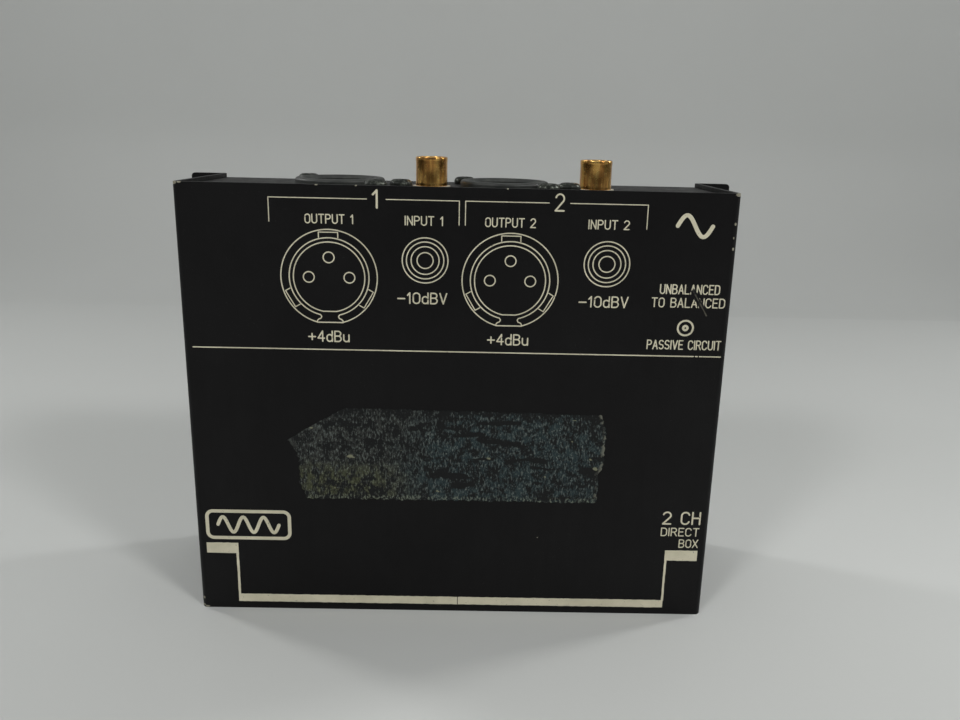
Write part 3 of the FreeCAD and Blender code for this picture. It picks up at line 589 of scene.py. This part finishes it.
def glyph_strokes():
    """Letters and figures of a plain engraver's alphabet, one unit tall: name to (width, strokes)."""
    bowl_top, bowl_low = arc(.28, .72, .28, .28, 180, 0), arc(.28, .28, .28, .28, 0, -180)
    ring = bowl_top + bowl_low + [bowl_top[0]]
    p_bowl = [(0, 0), (0, 1), (.28, 1)] + arc(.28, .745, .26, .255, 90, -90) + [(0, .49)]
    return {
        "0": (.56, [ring]), "O": (.56, [ring]),
        "1": (.26, [[(0, .76), (.20, 1), (.20, 0)]]),
        "2": (.56, [arc(.28, .73, .27, .27, 165, -35) + [(0, 0), (.56, 0)]]),
        "4": (.58, [[(.42, 0), (.42, 1), (0, .3), (.58, .3)]]),
        "A": (.58, [[(0, 0), (.29, 1), (.58, 0)], [(.10, .33), (.48, .33)]]),
        "B": (.56, [[(.3, .53), (0, .53), (0, 1), (.3, 1)] + arc(.3, .765, .23, .235, 90, -90)
                    + arc(.3, .265, .26, .265, 90, -90) + [(0, 0), (0, .53)]]),
        "C": (.56, [arc(.28, .72, .28, .28, 15, 180) + arc(.28, .28, .28, .28, 180, 345)]),
        "D": (.56, [[(0, 0), (0, 1), (.26, 1)] + arc(.26, .7, .3, .3, 90, 0)
                    + arc(.26, .3, .3, .3, 0, -90) + [(0, 0)]]),
        "E": (.50, [[(.5, 1), (0, 1), (0, 0), (.5, 0)], [(0, .53), (.42, .53)]]),
        "H": (.54, [[(0, 0), (0, 1)], [(.54, 0), (.54, 1)], [(0, .52), (.54, .52)]]),
        "I": (.02, [[(.01, 0), (.01, 1)]]),
        "L": (.48, [[(0, 1), (0, 0), (.48, 0)]]),
        "N": (.54, [[(0, 0), (0, 1), (.54, 0), (.54, 1)]]),
        "P": (.54, [p_bowl]),
        "R": (.56, [p_bowl, [(.3, .49), (.56, 0)]]),
        "S": (.54, [arc(.27, .75, .26, .25, 30, 270) + arc(.27, .26, .27, .24, 90, -150)]),
        "T": (.56, [[(0, 1), (.56, 1)], [(.28, 1), (.28, 0)]]),
        "U": (.56, [[(0, 1)] + arc(.28, .28, .28, .28, 180, 360) + [(.56, 1)]]),
        "V": (.58, [[(0, 1), (.29, 0), (.58, 1)]]),
        "X": (.56, [[(0, 0), (.56, 1)], [(0, 1), (.56, 0)]]),
        "d": (.48, [[(.48, 1), (.48, 0)], arc(.24, .42, .24, .24, 0, 180)
                    + arc(.24, .24, .24, .24, 180, 360) + [(.48, .42)]]),
        "u": (.48, [[(.48, .66), (.48, 0)], [(0, .66)] + arc(.24, .24, .24, .24, 180, 360)]),
        "+": (.60, [[(0, .44), (.60, .44)], [(.30, .14), (.30, .74)]]),
        "-": (.60, [[(0, .44), (.60, .44)]]),
        " ": (.30, []),
    }


GLYPHS = glyph_strokes()
GLYPH_GAP = 0.24


def text_strokes(words, left, right, top, height):
    """Lines of a text set between left and right, in millimetres from the face's upper left corner."""
    natural = sum(GLYPHS[c][0] for c in words) + GLYPH_GAP * (len(words) - 1)
    stretch = (right - left) / natural
    strokes, pen = [], 0.0
    for c in words:
        width, lines = GLYPHS[c]
        for line in lines:
            strokes.append([(left + (pen + px) * stretch, top + height * (1 - py)) for px, py in line])
        pen += width + GLYPH_GAP
    return strokes


def split_at_corners(line, limit=50.0):
    """The runs of a line between its sharp turns, so that each run ends in a round."""
    p = np.array(line, float)
    keep = np.concatenate([[True], np.linalg.norm(np.diff(p, axis=0), axis=1) > 1e-6])
    p = p[keep]
    if len(p) < 3:
        return [p]
    step = np.diff(p, axis=0)
    angle = np.degrees(np.arctan2(step[:, 1], step[:, 0]))
    turn = np.abs((np.diff(angle) + 180) % 360 - 180)
    cuts = [0] + (np.nonzero(turn > limit)[0] + 1).tolist() + [len(p) - 1]
    return [p[a:b + 1] for a, b in zip(cuts[:-1], cuts[1:])]


def print_points(rows):
    """Rows of four print points stood on the face: two at the ink's front, two sunk in the coat."""
    x = PRINT_LEFT + rows[..., 0] * MM
    z = PRINT_TOP - rows[..., 1] * MM
    y = np.broadcast_to(np.array([INK_FRONT, INK_FRONT, INK_BACK, INK_BACK]), x.shape)
    return np.stack([x, y, z], axis=-1).reshape(-1, 3)


def ink_strip(line, width, closed=False):
    """A strip carried along a line: its half width is even, and falls as a half circle past its ends."""
    p = np.array(line, float)
    half = width / 2
    if closed:
        tangent = np.roll(p, -1, axis=0) - np.roll(p, 1, axis=0)
        spread = np.full(len(p), half)
    else:
        tangent = np.gradient(p, axis=0)
        first, last = p[1] - p[0], p[-1] - p[-2]
        tangent[0], tangent[-1] = first, last
        first, last = first / np.linalg.norm(first), last / np.linalg.norm(last)
        s = np.sin(np.radians([90, 60, 30]))
        c = np.cos(np.radians([90, 60, 30]))
        head = p[0] - first * half * s[:, None]
        tail = p[-1] + last * half * s[::-1, None]
        p = np.concatenate([head, p, tail])
        tangent = np.concatenate([np.repeat(first[None], 3, 0), tangent, np.repeat(last[None], 3, 0)])
        spread = np.concatenate([half * c, np.full(len(p) - 6, half), half * c[::-1]])
    tangent = tangent / np.linalg.norm(tangent, axis=1)[:, None]
    across = np.stack([-tangent[:, 1], tangent[:, 0]], axis=1) * spread[:, None]
    rows = np.stack([p - across, p + across, p + across, p - across], axis=1)
    return print_points(rows), grid_faces(len(p), 4, wrap_rows=closed, wrap_columns=True)


def ink_lines(strokes, width):
    return [ink_strip(run, width) for line in strokes for run in split_at_corners(line)]


def ink_ring(cx, cy, radius, width):
    a = np.linspace(0, 2 * np.pi, 90, endpoint=False)
    return ink_strip(np.stack([cx + radius * np.cos(a), cy + radius * np.sin(a)], axis=1), width, closed=True)


def ink_bar(left, right, top, bottom, rng):
    """A solid bar nicked a little by the screen: each long edge = straight line + small random step."""
    long_way = (right - left) > (bottom - top)
    length, width = (right - left, bottom - top) if long_way else (bottom - top, right - left)
    count = max(4, int(length / 0.8))
    t = np.linspace(0, length, count)
    nick = rng.uniform(-0.05, 0.05, (2, count))
    a, b = nick[0], width + nick[1]
    if long_way:
        near, far = np.stack([left + t, top + a], 1), np.stack([left + t, top + b], 1)
    else:
        near, far = np.stack([left + a, top + t], 1), np.stack([left + b, top + t], 1)
    points = print_points(np.stack([near, far, far, near], axis=1))
    return points, tube_faces(count)


XLR_LEGEND = dict(outer=12.15, shell=10.05, nose=9.0, flat_outer=11.75, flat_nose=8.85)
PIN_LEGEND = ((0, -5.1), (-5.12, 0), (5.12, 0))
THIN, FINE, HAIR = 0.30, 0.26, 0.23
DIVIDER_DOWN = 42.0


def flat_ring(cx, cy, radius, flat):
    """A ring whose foot is cut off by a level line."""
    start = math.degrees(math.asin(flat / radius))
    reach = math.sqrt(radius ** 2 - flat ** 2)
    ring = arc(cx, cy, radius, radius, start, -180 - start)
    return ink_lines([ring, [(cx - reach, cy + flat), (cx + reach, cy + flat)]], THIN)


def xlr_legend(cx, cy):
    """Front view of a three-pin socket: two open rings, a nose ring, three tabs and three pins."""
    parts = []
    shell = XLR_LEGEND["shell"]
    parts += flat_ring(cx, cy, XLR_LEGEND["outer"], XLR_LEGEND["flat_outer"])
    parts += ink_lines([arc(cx, cy, shell, shell, 76, -256)], THIN)
    for side in (-1, 1):
        hook = [(2.35, 9.85), (2.15, 10.25), (2.35, 10.7), (2.95, 10.95), (3.25, 11.3), (3.3, 11.75)]
        parts += ink_lines([[(cx + side * hx, cy + hy) for hx, hy in hook]], THIN)
    parts += flat_ring(cx, cy, XLR_LEGEND["nose"], XLR_LEGEND["flat_nose"])
    for turn in (0, 120, 240):
        a = math.radians(turn)
        tab = [(-2.4, -10.1), (-2.4, -11.45), (2.4, -11.45), (2.4, -10.1)]
        tab = [(cx + u * math.cos(a) - v * math.sin(a), cy + u * math.sin(a) + v * math.cos(a))
               for u, v in tab]
        parts += ink_lines([tab], FINE)
    parts += [ink_ring(cx + px, cy + py, 1.36, THIN) for px, py in PIN_LEGEND]
    return parts


def bracket(left, gap_left, gap_right, right):
    """The line that spans one channel, open round its number."""
    top, low = 3.12, 9.1
    return [[(left, low), (left, top), (gap_left, top)], [(gap_right, top), (right, top), (right, low)]]


def sine_line(left, right, middle, height, periods):
    x = np.linspace(left, right, 24 * periods)
    return list(zip(x, middle - height * np.sin((x - left) / (right - left) * 2 * np.pi * periods)))


def small_words(words, left, right, top):
    """The print's small lettering, 2.3 mm tall."""
    return ink_lines(text_strokes(words, left, right, top, 2.3), 0.31)


def make_legend(ink):
    rng = np.random.default_rng(7)
    parts = []
    parts += ink_lines(bracket(22.95, 47.2, 52.0, 70.1) + bracket(71.65, 92.3, 97.6, 116.9), HAIR)
    parts += ink_lines(text_strokes("1", 48.75, 50.0, 0.95, 4.25), 0.52)
    parts += ink_lines(text_strokes("2", 93.9, 96.0, 0.9, 4.1), 0.42)
    for words, left, right in (("OUTPUT 1", 31.9, 43.8), ("OUTPUT 2", 76.7, 89.1),
                               ("INPUT 1", 56.7, 66.1), ("INPUT 2", 102.4, 112.5)):
        parts += ink_lines(text_strokes(words, left, right, 7.15, 2.15), 0.30)
    for left in (31.9, 77.9):
        parts += ink_lines(text_strokes("+4dBu", left, left + 10.3, 37.1, 2.7), 0.36)
    for left in (54.8, 101.0):
        parts += ink_lines(text_strokes("-10dBV", left, left + 12.4, 26.6, 2.7), 0.36)
    for cx in (37.5, 83.2):
        parts += xlr_legend(cx, 23.0)
    for cx in (61.7, 107.5):
        parts += [ink_ring(cx, 18.2, r, THIN) for r in (5.75, 4.7, 3.52, 2.02)]
    divider = ((2.0, 131.4), (131.95, 132.45), (133.0, 138.5))
    parts += ink_lines([[(left, DIVIDER_DOWN), (right, DIVIDER_DOWN)] for left, right in divider], 0.29)
    # signal sign, two lines of words, plain dial mark and one more line at the right
    parts += ink_lines([sine_line(124.6, 133.4, 8.1, 2.7, 1)], 1.05)
    parts += small_words("UNBALANCED", 121.5, 136.6, 23.1)
    parts += small_words("TO BALANCED", 119.6, 138.2, 26.6)
    parts += [ink_ring(128.7, 34.4, 1.95, 0.5), ink_ring(128.7, 34.4, 0.55, 0.6)]
    parts += small_words("PASSIVE CIRCUIT", 119.2, 138.2, 37.8)
    # frame of bars along the lower edge
    bars = ((1.9, 10.6, 98.05, 101.2), (9.95, 10.6, 101.1, 116.2), (9.95, 71.05, 113.85, 116.2),
            (71.25, 129.0, 113.85, 116.2),
            (128.5, 129.1, 98.3, 114.0), (128.55, 137.5, 98.2, 101.35))
    parts += [ink_bar(*bar, rng) for bar in bars]
    # plain badge with a signal wave
    badge = arc(4.2, 90.2, 1.7, 1.7, -180, -90) + arc(23.2, 90.2, 1.7, 1.7, -90, 0)
    badge += arc(23.2, 94.8, 1.7, 1.7, 0, 90) + arc(4.2, 94.8, 1.7, 1.7, 90, 180)
    parts.append(ink_strip(badge, 0.95, closed=True))
    parts += ink_lines([sine_line(5.4, 22.0, 92.5, 2.3, 3)], 0.95)
    parts += ink_lines(text_strokes("2 CH", 127.2, 137.3, 86.6, 3.5), 0.46)
    parts += small_words("DIRECT", 127.0, 137.3, 91.4)
    parts += small_words("BOX", 132.2, 137.3, 94.9)
    for k, (points, _) in enumerate(parts):
        points[:, 1] -= INK_STAGGER * (k % 8)
    points, faces = joined(parts)
    return new_piece("printed_legend", points, faces, ink, smooth_angle=20)


# ======================================================================================
# Adhesive left by a label strip
# ======================================================================================
RESIDUE_TOP, RESIDUE_BOTTOM = 58.3, 84.3
# How far in each side lies at each distance down, in millimetres: (down, across).
RESIDUE_LEFT = ((58.3, 41.1), (63.6, 31.3), (67.6, 25.3), (70.8, 27.4), (73.2, 28.2), (80.2, 28.2),
                (84.3, 30.1))
RESIDUE_RIGHT = ((58.3, 108.5), (63.5, 110.3), (73.2, 109.9), (75.5, 108.7), (78.7, 108.9),
                 (84.3, 108.6))
# Mean thickness of the film, its swing, and how deep its rim lies in the coat, in millimetres.
FILM_THICK, FILM_ROLL, FILM_SUNK = 0.055, 0.05, 0.02


def smooth_noise(rng, shape, passes):
    """Random numbers from -1 to 1, averaged with their neighbours so that they roll gently."""
    field = rng.uniform(-1, 1, shape)
    for _ in range(passes):
        for axis in range(field.ndim):
            field = (np.roll(field, 1, axis) + 2 * field + np.roll(field, -1, axis)) / 4
    return field / np.abs(field).max()


def make_residue(material):
    """A sheet over (u, v): its sides follow two ragged lines, and it thins to nothing at the rim."""
    rng = np.random.default_rng(11)
    rows, columns = 90, 260
    v = np.linspace(0, 1, rows)[:, None]
    u = np.linspace(0, 1, columns)[None, :]
    down = RESIDUE_TOP + (RESIDUE_BOTTOM - RESIDUE_TOP) * v[:, 0]
    left = np.interp(down, *zip(*RESIDUE_LEFT)) + 0.35 * smooth_noise(rng, rows, 1)
    right = np.interp(down, *zip(*RESIDUE_RIGHT)) + 0.3 * smooth_noise(rng, rows, 1)
    across = left[:, None] + (right - left)[:, None] * u
    ragged = 0.35 * smooth_noise(rng, columns, 1)[None, :]
    lower = down[:, None] + ragged * (np.abs(v - 0.5) * 2) ** 6 + 0.8 * (u - 0.5) * (1 - v)
    edge = np.minimum(np.minimum(u, 1 - u) * columns, np.minimum(v, 1 - v) * rows)
    rise = np.clip(edge / 1.5, 0, 1)
    bumps = FILM_THICK + FILM_ROLL * smooth_noise(rng, (rows, columns), 1) * rise
    x = PRINT_LEFT + across * MM
    z = PRINT_TOP - lower * MM
    front = FACE_Y - (bumps * rise - FILM_SUNK * (1 - rise)) * MM
    back = np.full_like(front, FACE_Y + 0.05 * MM)
    top = np.stack([x, front, z], axis=-1).reshape(-1, 3)
    low = np.stack([x, back, z], axis=-1).reshape(-1, 3)
    faces = grid_faces(rows, columns)
    under = grid_faces(rows, columns)[:, ::-1] + len(top)
    rim = rim_of(rows, columns)
    after = np.roll(rim, -1)
    wall = np.stack([rim, after, after + len(top), rim + len(top)], axis=1)
    points = np.concatenate([top, low])
    faces = np.concatenate([faces, under, wall])
    piece = new_piece("tape_residue", points, faces, material, smooth_angle=70)
    spread = np.stack([u + 0 * v, v + 0 * u, 0 * rise], axis=-1).reshape(-1, 3)
    layer = piece.data.attributes.new("spread", "FLOAT_VECTOR", "POINT")
    layer.data.foreach_set("vector", np.concatenate([spread, spread]).ravel())
    return piece


# ======================================================================================
# Screws
# ======================================================================================
SCREW_HEAD_R = 2.95


def screw_surface(head_r=SCREW_HEAD_R, crown=2.0, rounding=1.2, shank_r=1.45, length=7.0, cells=61):
    """A square of (u, v) pressed into a disc, with height = domed crown - cross recess.

    Its rim is carried down to a pointed shank. The disc is x = u sqrt(1 - v^2 / 2) and
    y = v sqrt(1 - u^2 / 2). The recess is deepest in the middle, and its four wings slope up as
    their distance from the axis grows.
    """
    line = np.sin(np.linspace(-np.pi / 2, np.pi / 2, cells)) * 0.35 + np.linspace(-1, 1, cells) * 0.65
    u, v = np.meshgrid(line, line)
    x = u * np.sqrt(1 - v * v / 2)
    y = v * np.sqrt(1 - u * u / 2)
    r = np.sqrt(x * x + y * y)
    x, y, r = x * head_r, y * head_r, r * head_r
    flat = head_r - rounding
    past = np.clip((r - flat) / rounding, 0, 1)
    dome = crown - rounding * (1 - np.sqrt(1 - past ** 2)) - 0.10 * (r / head_r) ** 2

    def wing(along, over):
        inside = np.clip((0.44 - np.abs(over)) / 0.16, 0, 1)
        slope = np.clip((1.75 - np.abs(along)) / 0.55, 0, 1)
        return inside * slope
    recess = np.maximum(wing(x, y), wing(y, x))
    z = dome - 1.15 * recess
    top = np.stack([x, y, z], axis=-1).reshape(-1, 3)
    rim = rim_of(cells, cells)
    ring = top[rim] * [1, 1, 0] / head_r
    tiers = [(head_r, 0.45), (head_r - 0.08, 0.06), (head_r - 0.2, 0.0), (shank_r, 0.0)]
    turns = np.linspace(0, 1, 4 * int(length / 0.5))
    tiers += [(shank_r - 0.12 * (k % 2), -0.1 - (length - 0.8) * t) for k, t in enumerate(turns)]
    tiers += [(shank_r - 0.5, -length), (0.0, -length)]
    loops = np.concatenate([ring * radius + [0, 0, height] for radius, height in tiers])
    points = np.concatenate([top, loops])
    count = len(rim)
    first_loop = len(top) + np.arange(count)
    collar = np.stack([rim, np.roll(rim, -1), np.roll(first_loop, -1), first_loop], axis=1)
    shank = grid_faces(len(tiers), count, wrap_columns=True, start=len(top))
    return points * MM, np.concatenate([grid_faces(cells, cells), collar[:, ::-1], shank])


def placed(surface, to, up=(0, 0, 1), twist=0.0):
    """The same surface turned by twist about its own axis, stood along up and moved to a place."""
    turn = Vector((0, 0, 1)).rotation_difference(Vector(up)) @ Quaternion((0, 0, 1), twist)
    matrix = np.array(turn.to_matrix())
    return surface[0] @ matrix.T + np.array(to), surface[1]


def make_screws(node, places, up, length, twists):
    parts = [
        placed(screw_surface(length=length), place, axis, twist)
        for place, axis, twist in zip(places, up, twists)
    ]
    points, faces = joined(parts)
    piece = new_piece(node + "_finished", points, faces, FINISHES["black_screw"], smooth_angle=38)
    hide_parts(node)
    return piece


def all_screws():
    r = SCREW_HEAD_R * MM
    for n in CHANNELS:
        low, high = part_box(f"xlr_screws_{n}")
        near = (high.x - r, low.y + r, PANEL_Z)
        far = (low.x + r, high.y - r, PANEL_Z)
        make_screws(f"xlr_screws_{n}", [near, far], [(0, 0, 1)] * 2, 6.4, [0.6 + n, 1.1 * n])
        middle = node_centre(f"rca_screw_{n}")
        make_screws(f"rca_screw_{n}", [(middle.x, middle.y, PANEL_Z)], [(0, 0, 1)], 9.5, [0.35 * n])
    low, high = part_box("cover_screws")
    places, ups = [], []
    for side in (-1, 1):
        for z in (low.z + r, high.z - r):
            places.append((side * HALF_WIDTH, (low.y + high.y) / 2, z))
            ups.append((side, 0, 0))
    make_screws("cover_screws", places, ups, 7.0, [0.3, 1.0, 0.8, 0.1])


# ======================================================================================
# Phono shells
# ======================================================================================
def bent_strip(points, width, thickness):
    """A rectangle of width along X and thickness across carried along a line of (y, z) points at one x."""
    p = np.array(points, float)
    step = np.gradient(p[:, 1:], axis=0)
    step /= np.linalg.norm(step, axis=1)[:, None]
    across = np.stack([0 * step[:, 0], -step[:, 1], step[:, 0]], axis=1) * width / 2
    side = np.array([thickness / 2, 0, 0])
    rows = np.stack([p - across - side, p + across - side, p + across + side, p - across + side], axis=1)
    return rows.reshape(-1, 3), tube_faces(len(p))


RCA_SHELL_R, RCA_STEM_R, RCA_BORE_R, RCA_LEG_X = 4.3, 3.93, 3.52, 3.75


def make_rca_shell(n):
    """Drawn shell turned from one closed outline: stem, shoulder, slightly swollen wall and rolled lip."""
    node = f"rca_shell_{n}"
    low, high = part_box(node)
    centre = (low.x + RCA_SHELL_R * MM, node_centre(f"rca_insulator_{n}").y, 0.0)
    top, shoulder = high.z / MM, PANEL_Z / MM + 0.1
    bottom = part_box(f"rca_insulator_{n}")[0].z / MM
    wall, rim, bore, stem = RCA_SHELL_R - 0.06, RCA_SHELL_R, RCA_BORE_R, RCA_STEM_R
    outline = [(bore, bottom), (stem, bottom), (stem, shoulder), (wall, shoulder)]
    outline += [(rim, shoulder + 0.1), (rim, shoulder + 0.9), (wall, shoulder + 1.1)]
    outline += [(wall, top - 1.25), (rim, top - 1.05), (rim, top - 0.35)]
    outline += quarter(rim - 0.35, top - 0.35, 0.35, 0, 90)[1:]
    outline += quarter(bore + 0.25, top - 0.25, 0.25, 90, 180)
    outline += [(bore, top - 0.9)]
    shell = lathe(outline, centre, 128)
    x = centre[0] + RCA_LEG_X * MM
    tail_z = low.z + 0.5 * MM
    bend = np.radians(np.linspace(0, 90, 6))
    radius = 0.7 * MM
    leg = [(x, centre[1], bottom * MM + 0.4 * MM)]
    leg += [(x, centre[1] + radius * (1 - math.cos(a)), tail_z + radius * (1 - math.sin(a)))
            for a in bend]
    leg += [(x, high.y, tail_z)]
    points, faces = joined([shell, bent_strip(leg, 1.6 * MM, 0.38 * MM)])
    piece = new_piece(node + "_finished", points, faces, FINISHES["gold_plate"], smooth_angle=30)
    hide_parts(node)


# ======================================================================================
# Stage and light
# ======================================================================================
PALE_PAPER, PALER_PAPER, SHADED_PAPER = rgb(0.60, 0.61, 0.60), rgb(0.64, 0.65, 0.64), rgb(0.30, 0.31, 0.305)


def make_stage():
    """A pale sweep carried along X: level floor, then a quarter round, then an upright wall. Its paper has
    painted shade: darker behind and left of the box, towards the top of the wall, and past a line at the
    floor's far end.
    """
    net = Net("stage_paper")
    cloud = net.noise(5, 3)
    x, y, z = net.axes()
    upper = net.span(z, 0.25, 0.60)
    level = net.span(z, 0.12, 0.005)
    paper = net.blend(cloud, PALE_PAPER, PALER_PAPER)
    # painted shade: the wall grows up to 12 % darker towards its top
    paper = net.blend(net.math("MULTIPLY", upper, 0.12), paper, SHADED_PAPER)
    # painted shade on the floor only: darker behind the box, and darker towards the left on the nearer floor
    left = net.math("MULTIPLY", net.span(x, 0.05, -0.12, 0.02, 0.18), net.span(y, 0.16, 0.0))
    shaded = net.math("ADD", net.span(y, -0.04, 0.12, 0.0, 0.27), left)
    paper = net.blend(net.math("MULTIPLY", shaded, level), paper, SHADED_PAPER)
    # painted shade: a step darker past a line at the floor's far end, over the curve and the wall, stronger
    # to the right
    behind = net.math("MULTIPLY", net.span(y, 0.331, 0.334), net.span(x, -0.6, 0.5, 0.02, 0.12))
    paper = net.blend(behind, paper, SHADED_PAPER)
    net.set(Base_Color=paper, Roughness=0.85,
            Normal=net.bump(net.noise(900, 2), 0.00004, 0.3))
    floor_end, radius, wall_top = 0.34, 0.14, 1.6
    a = np.linspace(0, np.pi / 2, 24)
    profile = np.concatenate([
        [[-2.5, 0.0]],
        np.stack([floor_end + radius * np.sin(a), radius * (1 - np.cos(a))], axis=1),
        [[floor_end + radius, wall_top]],
    ])
    x = np.array([-3.0, 3.0])
    grid = np.stack([
        np.broadcast_to(x[None, :], (len(profile), 2)),
        np.broadcast_to(profile[:, :1], (len(profile), 2)),
        np.broadcast_to(profile[:, 1:], (len(profile), 2)),
    ], axis=-1)
    mesh = bpy.data.meshes.new("stage")
    mesh.from_pydata(grid.reshape(-1, 3).tolist(), [], grid_faces(len(profile), 2)[:, ::-1].tolist())
    mesh.polygons.foreach_set("use_smooth", np.ones(len(mesh.polygons), bool))
    mesh.materials.append(net.material)
    stage = bpy.data.objects.new("stage", mesh)
    bpy.context.scene.collection.objects.link(stage)


def make_world():
    """Soft pale surroundings, darker in front of the box than above and behind it."""
    world = bpy.data.worlds.new("surroundings")
    bpy.context.scene.world = world
    world.use_nodes = True
    nodes, links = world.node_tree.nodes, world.node_tree.links
    nodes.clear()
    output = nodes.new("ShaderNodeOutputWorld")
    background = nodes.new("ShaderNodeBackground")
    coordinate = nodes.new("ShaderNodeTexCoord")
    parts = nodes.new("ShaderNodeSeparateXYZ")
    rise = nodes.new("ShaderNodeMapRange")
    ramp = nodes.new("ShaderNodeValToRGB")
    links.new(coordinate.outputs["Generated"], parts.inputs[0])
    links.new(parts.outputs["Y"], rise.inputs["Value"])
    rise.inputs["From Min"].default_value = -1.0
    rise.inputs["From Max"].default_value = 0.4
    links.new(rise.outputs[0], ramp.inputs[0])
    ramp.color_ramp.elements[0].color = (0.14, 0.145, 0.14, 1)
    ramp.color_ramp.elements[1].color = (0.64, 0.66, 0.65, 1)
    links.new(ramp.outputs[0], background.inputs["Color"])
    background.inputs["Strength"].default_value = 0.55
    links.new(background.outputs[0], output.inputs["Surface"])


LAMP_COLOUR = (1.0, 1.0, 0.985)
BOX_MIDDLE = (0, 0, 0.05)
# Name, place, aim, side in metres, power in watts, and the full angle of the beam in degrees.
LAMPS = (
    ("ceiling_panel", (0.0, 0.10, 1.30), (0, -0.05, 0), 0.6, 1.2, 180),
    ("lamp_front_right", (0.67, -0.60, 0.80), BOX_MIDDLE, 0.16, 3.8, 180),
    ("lamp_front_left", (-0.55, -0.70, 0.81), BOX_MIDDLE, 0.18, 3.1, 180),
    ("lamp_side_right", (0.80, 0.255, 0.55), (0.04, -0.20, 0.0), 0.12, 0.72, 95),
    ("lamp_side_left", (-0.77, 0.33, 0.55), (0.02, -0.20, 0.0), 0.12, 0.62, 95),
)


def add_light(name, place, aim, size, power, spread):
    """A square lamp turned towards its aim; spread is the full angle of its beam in degrees."""
    data = bpy.data.lights.new(name, "AREA")
    data.shape = "SQUARE"
    data.size = size
    data.energy = power
    data.spread = math.radians(spread)
    data.color = LAMP_COLOUR
    light = bpy.data.objects.new(name, data)
    light.location = place
    light.rotation_mode = "QUATERNION"
    light.rotation_quaternion = (Vector(aim) - Vector(place)).to_track_quat("-Z", "Y")
    bpy.context.scene.collection.objects.link(light)


def make_lights():
    """A panel overhead, two lamps in front of the box and two low at its sides, a little behind it."""
    for lamp in LAMPS:
        add_light(*lamp)


# ======================================================================================
# Assembly
# ======================================================================================
bpy.context.scene.view_settings.view_transform = "Standard"
make_camera()
dress_frame()
cover = softened("cover", 0.12 * MM)
cover.data.materials.clear()
cover.data.materials.append(black_powder_coat("black_powder_coat_worn", True))
tray = softened("chassis_tray", 0.15 * MM)
make_legend(legend_ink())
make_residue(tape_residue())
all_screws()
for channel in CHANNELS:
    make_rca_shell(channel)
make_stage()
make_world()
make_lights()
